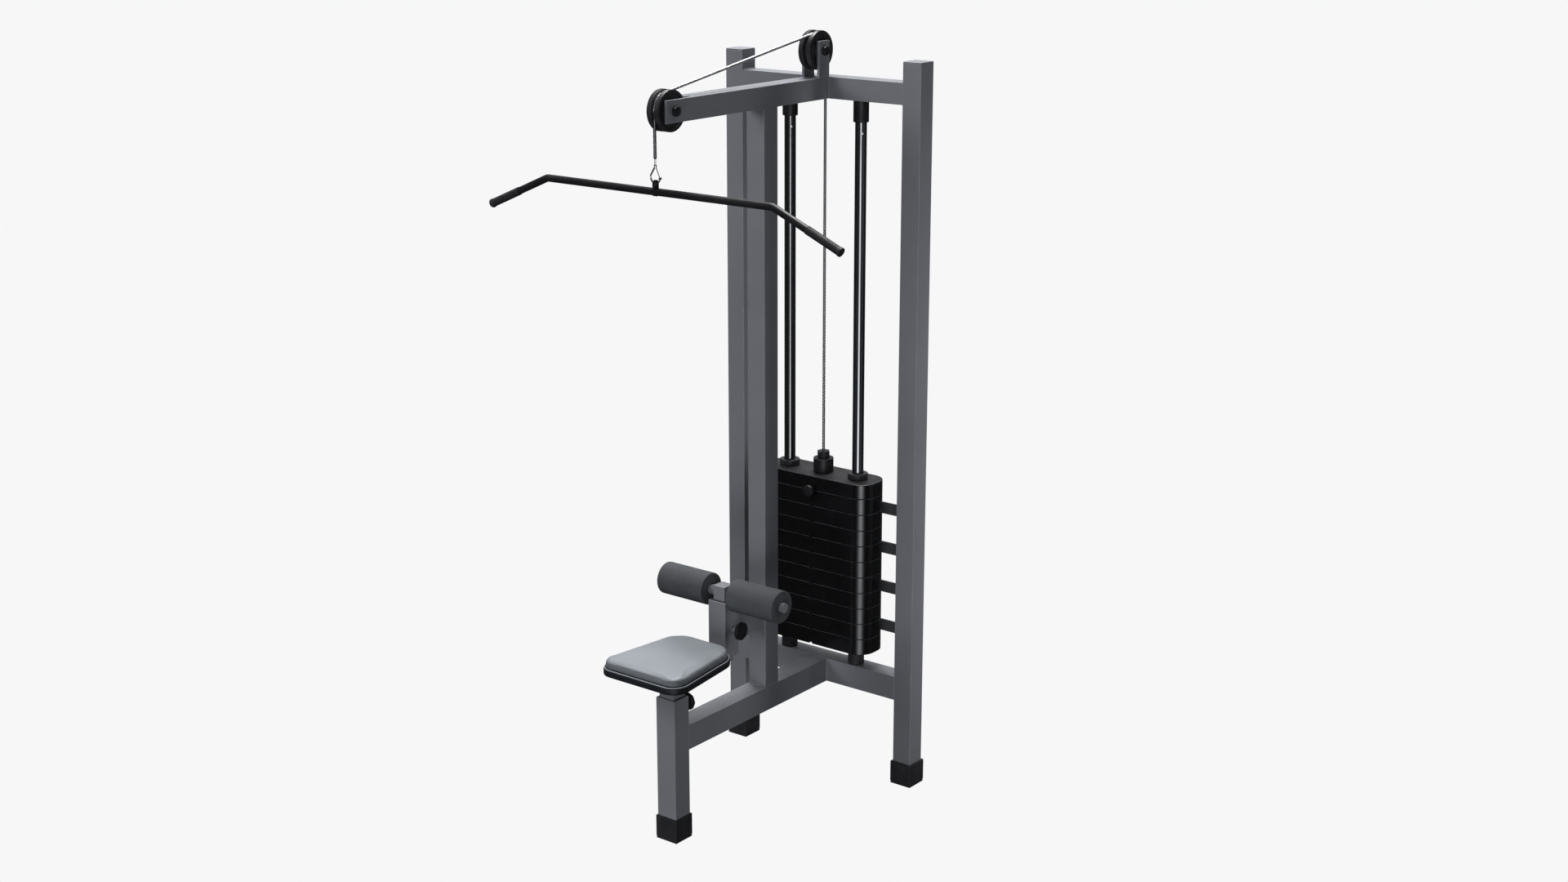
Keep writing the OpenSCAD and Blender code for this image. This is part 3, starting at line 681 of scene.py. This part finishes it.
def pulley_shape(centre):
    """Two flanges with a round groove, a raised hub and a sunk web."""
    low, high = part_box("front_pulley")
    half = (high.x - low.x) / 2
    outer = (high.z - low.z) / 2 + 0.0001
    groove_r = 0.0043
    groove_c = PITCH_R + groove_r - ROPE_R - 0.00035
    side = [(0.0176, half - 0.0005), (0.0180, half), (0.0225, half), (0.0235, half - 0.0006),
            (0.0245, half - 0.0034), (0.0260, half - 0.0040), (0.0440, half - 0.0040),
            (0.0455, half - 0.0034), (0.0465, half - 0.0006), (0.0475, half), (outer - 0.0014, half),
            (outer - 0.0004, half - 0.0004), (outer, half - 0.0014)]
    wall = [(outer, 0.0066), (outer - 0.0006, 0.0060), (groove_c, groove_r)]
    bottom = [(groove_c - groove_r * math.sin(a), groove_r * math.cos(a))
              for a in np.linspace(0.2, math.pi / 2, 6)]
    half_profile = side + wall + bottom
    profile = half_profile + [(x, -y) for x, y in reversed(half_profile[:-1])]
    return turned(profile, centre, (1, 0, 0), 96)


for name, centre in (("front", FRONT_PULLEY), ("rear", REAR_PULLEY)):
    piece(name + "_sheave", pulley_shape(centre), "pulley", 30, name + "_wheel", "pulley_nylon",
          name + "_pulley")


def hex_head(x0, x1, centre, flats, turn):
    """A hexagonal head along X from x0 to x1, chamfered round on its outer face."""
    steps, rings = 72, []
    direction = 1 if x1 > x0 else -1
    depth = abs(x1 - x0)
    # Distance from x0, share of roundness, scale.
    levels = [(0.0, 0.0, 1.0), (0.0003, 0.0, 1.0), (depth - 0.0022, 0.0, 1.0), (depth - 0.0012, 0.45, 1.0),
              (depth - 0.0004, 0.9, 1.0), (depth, 1.0, 0.955)]
    for h, roundness, scale in levels:
        ring = []
        for i in range(steps):
            a = 2 * math.pi * i / steps
            local = (a - turn) % (math.pi / 3) - math.pi / 6
            corner_r = flats / 2 / math.cos(local)
            radius = corner_r * (1 - roundness) + min(corner_r, flats / 2 * 1.02) * roundness
            radius *= scale
            ring.append(Vector((x0 + direction * h, centre.y + radius * math.cos(a),
                                centre.z + radius * math.sin(a))))
        rings.append(ring)
    return loft(rings)


def washer(x0, x1, centre, radius):
    return solid_turned([(radius - 0.0004, 0), (radius, 0.0004), (radius, x1 - x0 - 0.0004),
                         (radius - 0.0004, x1 - x0)], (x0, centre.y, centre.z), (1, 0, 0), 48)


# The bolts run through brackets whose outer faces stand this far from the middle.
CLAMPED = 0.030
BOLT_R, WASHER_R, WASHER_THICK, HEX_FLATS = 0.0080, 0.0135, 0.0018, 0.0240
bolt_parts = []
for centre in (FRONT_PULLEY, REAR_PULLEY):
    on_axis = (0, centre.y, centre.z)
    bolt_parts += [
        solid_turned([(BOLT_R, -CLAMPED - 0.0160 + 0.0012), (BOLT_R, CLAMPED + 0.001)], on_axis,
                     (1, 0, 0), 40),
        solid_turned([(0.0062, -CLAMPED - 0.0160), (BOLT_R, -CLAMPED - 0.0150),
                      (BOLT_R, -CLAMPED - 0.0140)], on_axis, (1, 0, 0), 40),
        washer(CLAMPED, CLAMPED + WASHER_THICK, centre, WASHER_R),
        hex_head(CLAMPED + WASHER_THICK, CLAMPED + 0.0100, centre, HEX_FLATS, math.radians(15)),
        washer(-CLAMPED - WASHER_THICK, -CLAMPED, centre, WASHER_R),
        hex_head(-CLAMPED - WASHER_THICK, -CLAMPED - 0.0130, centre, HEX_FLATS, math.radians(8)),
    ]
piece("pulley_bolt_sets", merge(bolt_parts), "bolt", 28, "frame", "bolt_black", "pulley_bolts")

# -------- pins of the guide rods

ROD_PIN_Z = 1.9115


def rod_pin_shape(node):
    """A cross pin with domed ends near the top of a guide rod."""
    centre = middle(node)
    centre.z = ROD_PIN_Z
    turn = math.radians(-41)
    axis = Vector((math.cos(turn), math.sin(turn), 0))
    half = 0.0165
    return solid_turned([(0.0006, -half - 0.0016), (0.0020, -half - 0.0013), (0.0029, -half - 0.0004),
                         (0.0030, -half), (0.0030, half), (0.0029, half + 0.0004), (0.0020, half + 0.0013),
                         (0.0006, half + 0.0016)], centre, axis, 24)


rod_pins = merge([rod_pin_shape("guide_rod_right"), rod_pin_shape("guide_rod_left")])
piece("retaining_pins", rod_pins, "pin", 50, "frame", "steel", "rod_pins")

# -------- weight plates

ROD_X = middle("guide_rod_right").x
PLATE_R = 0.0505
PIN_R = 0.006


def evaluated(obj):
    """obj's mesh with its modifiers applied; the modifiers are taken off."""
    graph = bpy.context.evaluated_depsgraph_get()
    made = bpy.data.meshes.new_from_object(obj.evaluated_get(graph))
    old = obj.data
    obj.modifiers.clear()
    obj.data = made
    bpy.data.meshes.remove(old)


def plate_outline(low, high, inset):
    """A plate's plan: a rectangle with large round corners, its sides cut into short steps."""
    out = []
    corner = PLATE_R - inset
    corners = [(high.x, low.y, 1, -1, -90), (high.x, high.y, 1, 1, 0), (low.x, high.y, -1, 1, 90),
               (low.x, low.y, -1, -1, 180)]
    turns = [(Vector((x - sx * PLATE_R, y - sy * PLATE_R)), start) for x, y, sx, sy, start in corners]
    for (centre, start), (following, next_start) in zip(turns, turns[1:] + turns[:1]):
        for i in range(19):
            a = math.radians(start + 5 * i)
            out.append(centre + Vector((math.cos(a), math.sin(a))) * corner)
        a = math.radians(next_start)
        target = following + Vector((math.cos(a), math.sin(a))) * corner
        steps = int((target - out[-1]).length / 0.0045)
        begin = out[-1].copy()
        out += [begin.lerp(target, i / steps) for i in range(1, steps)]
    return out


def plate_mesh(name, node, holes, edge=0.0016):
    """A cast plate with rolled edges, through holes and the pin's half grooves.

    Its sides have the first material, its rolled edges the second, painted lighter as a painted highlight,
    and its top the third.
    """
    low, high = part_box(node)
    made = bmesh.new()
    rolled = [(edge * (1 - math.sin(a)), edge * (1 - math.cos(a))) for a in np.linspace(0, math.pi / 2, 5)]
    half = [(2.4 * edge, 0.0), *rolled, (0.0, 2.4 * edge)]
    levels = [(inset, low.z + z) for inset, z in half]
    levels += [(inset, high.z - z) for inset, z in reversed(half)]
    rims = []

    def wall(rings):
        loops = [[made.verts.new((p.x, p.y, z)) for p in ring] for ring, z in rings]
        for a, b in zip(loops, loops[1:]):
            for j in range(len(a)):
                k = (j + 1) % len(a)
                made.faces.new((a[j], a[k], b[k], b[j]))
        rims.append((loops[0], loops[-1]))

    wall([(plate_outline(low, high, inset), z) for inset, z in levels])
    for x, radius in holes:
        middle_at = Vector((x, STACK_Y))
        wall([([middle_at + Vector(p) for p in circle(radius + inset * 0.6, 48)], z) for inset, z in levels])
    for side in (0, 1):
        edges = []
        for loop in (rim[side] for rim in rims):
            for vert, following in zip(loop, loop[1:] + loop[:1]):
                edges.append(made.edges.get((vert, following)))
        bmesh.ops.triangle_fill(made, use_beauty=True, edges=edges)
    bmesh.ops.recalc_face_normals(made, faces=made.faces)
    mesh = bpy.data.meshes.new(name)
    made.to_mesh(mesh)
    made.free()
    for material in ("iron", "iron_edge_highlight", "iron_top"):
        mesh.materials.append(M[material])
    obj = in_scene(name, mesh)
    grooved = (low.z,) if node == "head_plate" else (low.z, high.z)
    verts, faces, _which = merge([
        solid_turned([(PIN_R + 0.0008, 0.0), (PIN_R, 0.0018), (PIN_R, 0.1030)], (0, low.y - 0.001, z),
                     (0, 1, 0), 32) for z in grooved])
    cutter = new_mesh(name + "_cutter", verts, faces, ["iron"])
    assign(obj.modifiers.new("groove", "BOOLEAN"), operation="DIFFERENCE", solver="EXACT", object=cutter)
    evaluated(obj)
    bpy.data.objects.remove(cutter)
    for polygon in obj.data.polygons:
        up = polygon.normal.z
        polygon.material_index = 2 if up > 0.98 else 1 if abs(up) > 0.2 and up > -0.98 else 0
    smooth(obj, 32)
    return obj


for number in range(1, 11):
    node_name = f"weight_plate_{number:02d}"
    place(plate_mesh(f"plate_{number:02d}", node_name, [(-ROD_X, 0.0175), (0, 0.0155), (ROD_X, 0.0175)]),
          "frame", "weight_iron", node_name)
place(plate_mesh("top_plate", "head_plate", [(-ROD_X, 0.021), (0, 0.014), (ROD_X, 0.021)], 0.0022), "stack",
      "weight_iron", "head_plate")

# -------- knobs and the selector pin


def eight_sided(a):
    """How far a soft eight-sided outline stands out at angle a, 1 at its corners."""
    half_side = math.pi / 8
    local = a % (2 * half_side) - half_side
    return 0.35 + 0.65 * (math.cos(half_side) / math.cos(local))


def knob_shape(origin, axis, outer, depth, stud, stud_reach, boss, start=0.004):
    """A clamping knob: soft eight-sided grip, collar and stud. Zero along axis is the boss face."""
    profile = [(outer * 0.80, start), (outer * 0.93, start + 0.0010), (outer, start + 0.0035),
               (outer, depth - 0.0045), (outer * 0.965, depth - 0.0022), (outer * 0.88, depth - 0.0006),
               (outer * 0.78, depth), (outer * 0.42, depth), (outer * 0.38, depth - 0.0008),
               (outer * 0.05, depth - 0.0010)]
    return merge([
        solid_turned([(stud, -stud_reach), (stud, start + 0.001)], origin, axis, 32),
        solid_turned([(boss - 0.001, 0.0003), (boss, 0.0012), (boss, start + 0.001),
                      (boss - 0.001, start + 0.002)], origin, axis, 40),
        solid_turned(profile, origin, axis, 96, wobble=eight_sided),
    ])


seat_at = (0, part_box("front_leg")[1].y, middle("seat_knob").z)
thigh_at = (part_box("thigh_sleeve")[1].x, middle("thigh_knob").y, middle("thigh_knob").z)
for clamped, origin, axis, stud_reach in (("seat", seat_at, (0, 1, 0), 0.0267),
                                          ("thigh", thigh_at, (1, 0, 0), 0.0317)):
    parts = knob_shape(origin, axis, 0.0268, 0.017, 0.00495, stud_reach, 0.013)
    piece(clamped + "_clamp_knob", parts, "knob", 38, clamped + "_clamp", "knob_plastic", clamped + "_knob")

pin_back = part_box("selector_pin")[1].y
pin_z = middle("selector_pin").z
face_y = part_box("head_plate")[0].y
shaft = solid_turned([(0.0018, 0.0), (0.0038, 0.0012), (0.0050, 0.0034),
                      (0.0050, pin_back - face_y + 0.006)], (0, pin_back, pin_z), (0, -1, 0), 32)
head = knob_shape((0, face_y - 0.0012, pin_z), (0, -1, 0), 0.0180, 0.0178, 0.0050, 0.0, 0.0125, start=0.0)
piece("selector_knob", merge([shaft, head]), "knob", 38, "pin", "knob_plastic", "selector_pin")

# -------- rubber feet


def foot_shape(node):
    """A rubber boot: sole, straight walls, a rolled rim and a socket for the tube."""
    low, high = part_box(node)
    cx, cy = (low.x + high.x) / 2, (low.y + high.y) / 2
    sx, sy, top = (high.x - low.x) / 2, (high.y - low.y) / 2, high.z

    def ring(inset, z, corner):
        out = []
        ax, ay = sx - inset, sy - inset
        for qx, qy, start in ((1, 1, 0), (-1, 1, 90), (-1, -1, 180), (1, -1, 270)):
            for i in range(7):
                a = math.radians(start + 15 * i)
                out.append(Vector((cx + qx * (ax - corner) + corner * math.cos(a),
                                   cy + qy * (ay - corner) + corner * math.sin(a), z)))
        return out

    # Inset, height, corner radius: from inside the sole, up the walls and into the socket.
    levels = [(0.0065, 0.0, 0.001), (0.0020, 0.0, 0.0015), (0.0006, 0.0008, 0.0015),
              (0.0006, 0.0050, 0.0015), (0.0014, 0.0057, 0.0015), (0.0014, 0.0069, 0.0015),
              (0.0, 0.0076, 0.0015), (0.0, 0.0100, 0.0015), (0.0, top - 0.0100, 0.0015),
              (0.0, top - 0.0010, 0.0015), (0.0003, top - 0.0003, 0.0015),
              (0.0010, top, 0.0012), (0.0045, top, 0.0012), (0.0052, top - 0.0008, 0.0012),
              (0.0052, 0.0125, 0.001)]
    return loft([ring(*level) for level in levels])


for node_name in ("left_foot", "right_foot", "front_foot"):
    piece(node_name + "_boot", foot_shape(node_name), "rubber", 32, "frame", "foot_rubber", node_name)

# -------- weld beads


WELD_R = 0.0026 * 0.8
# Most beads stop this far from a tube's corners.
WELD_SHORT = 0.002


def bead_along(points, closed=False):
    """A painted fillet weld: a small bead with a stacked-coin ripple."""
    fine = []
    corners = [Vector(p) for p in points]
    ends = corners[1:] + corners[:1] if closed else corners[1:]
    for a, b in zip(corners, ends):
        steps = max(2, int((b - a).length / 0.0011))
        fine += [a.lerp(b, i / steps) for i in range(steps)]
    if not closed:
        fine.append(corners[-1])
    lengths = along(fine)

    def section(i):
        ripple = 1 + 0.14 * abs(math.sin(math.pi * lengths[i] / 0.0042))
        return [(x * ripple, y * ripple) for x, y in circle(WELD_R, 8)]

    return sweep(fine, section, closed=closed)


def bead_x(low, high, y, z):
    """A bead along X at y and z, short of the corners of a box from low to high."""
    return bead_along([(low.x + WELD_SHORT, y, z), (high.x - WELD_SHORT, y, z)])


def bead_z(low, high, x, y):
    return bead_along([(x, y, low.z + WELD_SHORT), (x, y, high.z - WELD_SHORT)])


beads = []
for node in ("upper_crossbeam", "lower_crossbeam"):
    low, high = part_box(node)
    # Flush with the posts in front and behind: beads above and below only.
    for x in (low.x, high.x):
        for z in (low.z, high.z):
            beads.append(bead_along([(x, low.y + WELD_SHORT, z), (x, high.y - WELD_SHORT, z)]))
low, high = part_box("boom")
beads += [bead_z(low, high, x, high.y) for x in (low.x, high.x)]
low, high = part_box("column")
beads += [bead_x(low, high, y, low.z) for y in (low.y, high.y)]
beads += [bead_along([(x, low.y, low.z), (x, high.y, low.z)]) for x in (low.x, high.x)]
beads += [bead_x(low, high, y, high.z) for y in (low.y, high.y)]
low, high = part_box("lower_beam")
beads += [bead_x(low, high, y, z) for y, z in ((low.y, low.z), (low.y, high.z), (high.y, low.z))]
beads += [bead_z(low, high, x, high.y) for x in (low.x, high.x)]
low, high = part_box("thigh_bracket")
for y in (low.y, high.y):
    around = [(low.x, y, low.z), (high.x, y, low.z), (high.x, y, high.z), (low.x, y, high.z)]
    beads.append(bead_along(around, closed=True))
low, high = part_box("pulley_brackets")
for x in (-0.022, 0.022):
    beads.append(bead_along([(x, low.y, low.z), (x, high.y, low.z)]))
piece("weld_beads", merge(beads), "paint", 50, "frame", "frame_paint")

SEAT_TUBE_HALF = 0.025
plate_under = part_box("seat_post")[1].z - 0.0055
seat_y = middle("seat_post").y
corners = [(LEG.x + SEAT_TUBE_HALF * qx, seat_y + SEAT_TUBE_HALF * qy, plate_under)
           for qx, qy in ((-1, -1), (1, -1), (1, 1), (-1, 1))]
piece("seat_weld_bead", bead_along(corners, closed=True), "paint", 50, "seat", "frame_paint")

# -------- seat board, piping and pad

BOARD_LOW, BOARD_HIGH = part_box("seat_board")


def seat_outline(inset, count=176):
    """The seat's plan: rounded front corners, tapered sides, a bowed back, shrunk by inset."""
    front_r, rear_r, arc_r = 0.045, 0.070, 0.104
    rear_x = 0.117 - rear_r
    y0, y1 = BOARD_LOW.y, BOARD_HIGH.y
    half = BOARD_HIGH.x
    rounds = [(half - front_r, y0 + front_r, front_r), (-half + front_r, y0 + front_r, front_r),
              (rear_x, y1 - 0.065, rear_r), (-rear_x, y1 - 0.065, rear_r), (0.0, y1 - arc_r, arc_r)]
    # The curve that touches the outermost of these circles in every direction.
    dense, directions = [], 1440
    for i in range(directions):
        a = -math.pi / 2 + 2 * math.pi * i / directions
        dx, dy = math.cos(a), math.sin(a)
        x, y, r = max(rounds, key=lambda c: c[0] * dx + c[1] * dy + c[2])
        dense.append(Vector((x + (r - inset) * dx, y + (r - inset) * dy)))
    lengths = along(dense + dense[:1])
    total, out, j = lengths[-1], [], 0
    for i in range(count):
        want = total * i / count
        while lengths[j + 1] < want:
            j += 1
        f = (want - lengths[j]) / max(lengths[j + 1] - lengths[j], 1e-9)
        out.append(dense[j].lerp(dense[(j + 1) % len(dense)], f))
    return out


def seat_ring(inset, z):
    return [Vector((p.x, p.y, z)) for p in seat_outline(inset)]


z0, z1 = BOARD_LOW.z, BOARD_HIGH.z
levels = [(0.012, z0), (0.0030, z0), (0.0010, z0 + 0.0008), (0.0, z0 + 0.0026), (0.0, z1 - 0.0030),
          (0.0008, z1 - 0.0010), (0.0024, z1), (0.010, z1)]
piece("board", loft([seat_ring(*level) for level in levels]), "board", 40, "seat", "board_black",
      "seat_board")
# The light piping partly paints the highlight along the board's top edge.
PIPING_R = 0.0016
piping_path = [Vector((p.x, p.y, z1 + 0.0008)) for p in seat_outline(0.0030, 220)]
piece("seat_piping", sweep(piping_path, lambda i: circle(PIPING_R, 12), closed=True), "piping_highlight", 60, "seat",
      "seat_vinyl")


CLOTH_FRAMES = 20


def coordinates(mesh):
    out = np.zeros(len(mesh.vertices) * 3)
    mesh.vertices.foreach_get("co", out)
    return out.reshape(-1, 3)


def puff(obj, cap, pinned, limits):
    """A cloth simulation with air pressure; no point moves more than cap or beyond its limits."""
    rest = coordinates(obj.data)
    group = obj.vertex_groups.new(name="held")
    for index, weight in enumerate(pinned(rest)):
        if weight > 0:
            group.add([index], float(weight), "REPLACE")
    cloth = obj.modifiers.new("cloth", "CLOTH")
    assign(cloth.settings, quality=6, use_pressure=True, uniform_pressure_force=3,
           tension_stiffness=25, compression_stiffness=25, shear_stiffness=12, bending_stiffness=6,
           vertex_group_mass=group.name)
    cloth.settings.effector_weights.gravity = 0
    cloth.collision_settings.use_collision = False
    for number in range(1, CLOTH_FRAMES + 1):
        SCENE.frame_set(number)
    evaluated(obj)
    moved = coordinates(obj.data)
    SCENE.frame_set(1)
    step = moved - rest
    length = np.linalg.norm(step, axis=1)
    step *= np.minimum(1.0, cap / np.maximum(length, 1e-9))[:, None]
    final = limits(rest + step)
    obj.data.vertices.foreach_set("co", final.astype(np.float32).ravel())
    obj.data.update()
    assign(obj.modifiers.new("subdivide", "SUBSURF"), levels=1, render_levels=1)
    evaluated(obj)
    smooth(obj, 70)


# The pad starts a little slim and is blown out to the CAD solid's size.
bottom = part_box("seat_pad")[0].z
pad_levels = [(0.012, 0.0004), (0.0072, 0.0006), (0.0068, 0.0030), (0.0066, 0.0100), (0.0068, 0.0160),
              (0.0078, 0.0202), (0.0102, 0.0232), (0.0140, 0.0249), (0.0200, 0.0257), (0.0300, 0.0260)]
pad_rings = [seat_ring(inset, bottom + z) for inset, z in pad_levels]
pad_middle = Vector((0, middle("seat_pad").y, 0))
top_rim = pad_rings[-1]
CROWN = 0.0016
for share in (0.8, 0.6, 0.4, 0.2):
    rise = CROWN * (1 - share * share)
    pad_rings.append([pad_middle + (p - pad_middle) * share + Vector((0, 0, p.z * (1 - share) + rise))
                      for p in top_rim])
verts, faces, _which = loft(pad_rings)
pad = new_mesh("pad", verts, faces, ["vinyl", "side_shade"], angle=60)
assign(pad.modifiers.new("remesh", "REMESH"), mode="VOXEL", voxel_size=0.004)
evaluated(pad)


def pad_pins(points):
    return np.where(points[:, 2] < bottom + 0.004, 1.0, 0.0)


def pad_limits(points):
    points = points.copy()
    points[:, 2] = np.maximum(points[:, 2], bottom + 0.0003)
    return points


puff(pad, 0.0016, pad_pins, pad_limits)
# The pad's sides, up to where the top panel rolls over, get a darker skin: painted shade on the sides.
for polygon in pad.data.polygons:
    polygon.material_index = 1 if polygon.center.z < bottom + 0.0195 else 0
place(pad, "seat", "seat_vinyl", "seat_pad")

# -------- foam rollers

AXLE = np.array([THIGH.y, THIGH.z])
# Radii: the foam's bore, how far out it is glued, and the least and the most any point may reach.
BORE_R, GLUED_R, LEAST_R, MOST_R = 0.0146, 0.024, 0.0144, 0.0472
for side_name in ("left", "right"):
    node = "roller_" + side_name
    low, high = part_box(node)
    length = high.x - low.x
    skin, round_r = (high.z - low.z) / 2 - 0.0008, 0.0026
    quarter = [(skin - round_r * (1 - math.cos(t)), round_r * (1 - math.sin(t)))
               for t in np.linspace(math.pi / 2, 0, 5)]
    face = [(BORE_R, 0.0010), (BORE_R + 0.0012, 0.0)]
    face += [(r, 0.0) for r in np.linspace(BORE_R + 0.005, skin - 0.006, 6)]
    half_profile = face + quarter
    sides = [(skin, x) for x in np.linspace(0.0055, length - 0.0055, 30)]
    profile = half_profile + sides + [(r, length - x) for r, x in reversed(half_profile)]
    verts, faces, _which = turned(profile, (low.x, THIGH.y, THIGH.z), (1, 0, 0), 72)
    roller = new_mesh(side_name + "_foam", verts, faces, ["foam"], angle=60)

    def roller_pins(points):
        away = np.hypot(points[:, 1] - AXLE[0], points[:, 2] - AXLE[1])
        return np.where(away < GLUED_R, 1.0, 0.0)

    def roller_limits(points, start=low.x, stop=high.x):
        points = points.copy()
        offset = points[:, 1:] - AXLE
        away = np.hypot(offset[:, 0], offset[:, 1])
        new = np.clip(away, LEAST_R, MOST_R)
        points[:, 1:] = AXLE + offset * (new / np.maximum(away, 1e-6))[:, None]
        points[:, 0] = np.clip(points[:, 0], start, stop)
        return points

    puff(roller, 0.0009, roller_pins, roller_limits)
    place(roller, side_name + "_roller", "foam_skin", node)

# -------- stage and light

PALE = (0.930, 0.930, 0.939)
FLOOR_HALF = 60.0
floor_mesh = bpy.data.meshes.new("floor")
floor_corners = [(x * FLOOR_HALF, y * FLOOR_HALF, 0) for x, y in ((-1, -1), (1, -1), (1, 1), (-1, 1))]
floor_mesh.from_pydata(floor_corners, [], [(0, 1, 2, 3)])
floor = in_scene("floor", floor_mesh)
floor_mesh.materials.append(material_nodes("pale_floor").set(
    (0, 0, 0), 1.0, Specular_IOR_Level=0.0, Emission_Color=PALE, Emission_Strength=1.0))
assign(floor, visible_diffuse=False, visible_glossy=False, visible_transmission=False, visible_shadow=False)


def studio(ambient, lobes):
    """Soft light that depends on direction: each lobe is (towards, power, strength)."""
    SCENE.world = bpy.data.worlds.new("studio")
    n = Nodes(SCENE.world, "Generated")

    def op(kind, a, b):
        return n.add("ShaderNodeMath", {0: a, 1: b}, operation=kind).outputs["Value"]

    total = ambient
    for towards, power, strength in lobes:
        facing = n.add("ShaderNodeVectorMath", {0: n.coords, 1: tuple(Vector(towards).normalized())},
                       operation="DOT_PRODUCT").outputs["Value"]
        shaped = op("POWER", op("MAXIMUM", facing, 0.0), power)
        total = op("ADD", op("MULTIPLY", shaped, strength), total)
    lit = n.tree.nodes["Background"]
    n.feed((0.955, 0.975, 1.0), lit.inputs["Color"])
    n.feed(total, lit.inputs["Strength"])
    seen = n.add("ShaderNodeBackground", {"Color": PALE})
    camera_ray = n.add("ShaderNodeLightPath", {}).outputs["Is Camera Ray"]
    both = n.add("ShaderNodeMixShader", {0: camera_ray, 1: lit.outputs[0], 2: seen.outputs[0]})
    n.feed(both.outputs[0], n.tree.nodes["World Output"].inputs["Surface"])


def softbox(name, place_at, aim, width, height, brightness, glossy=True):
    """A rectangular light that the camera does not see; brightness is its radiance."""
    data = assign(bpy.data.lights.new(name, "AREA"), shape="RECTANGLE", size=width, size_y=height,
                  energy=brightness * math.pi * width * height)
    turn = (Vector(aim) - Vector(place_at)).to_track_quat("-Z", "Y")
    assign(in_scene(name, data), location=place_at, rotation_mode="QUATERNION", rotation_quaternion=turn,
           visible_camera=False, visible_glossy=glossy)


def compass(azimuth, elevation):
    """A direction: azimuth from -Y towards +X, both in degrees."""
    a, e = math.radians(azimuth), math.radians(elevation)
    return (math.sin(a) * math.cos(e), -math.cos(a) * math.cos(e), math.sin(e))


studio(0.04, [((0, 0, 1), 2, 0.12), ((-0.59, 0.76, 0.27), 6, 0.25), (compass(36, 0), 40, 2.3),
              (compass(36, -12), 40, 2.8), (compass(36, -24), 40, 2.8)])
softbox("overhead", (-0.8, 1.6, 7.0), (0, 0, 0), 3.4, 3.4, 22.0)
softbox("side", (-3.6, 3.9, 4.4), (0, 0, 0.6), 2.6, 2.6, 24.0, glossy=False)
softbox("key", (-3.9, -4.9, 4.6), (0, 0, 1.1), 3.4, 3.4, 11.6, glossy=False)
softbox("strip", (0.90, 0.98, 0.95), (0.3385, 0.3925, 0.95), 0.2, 1.9, 9.5, glossy=False)
softbox("low", (0.9, -3.6, 0.2), (0.3, 0.3, 0.3), 1.6, 0.8, 7.0, glossy=False)
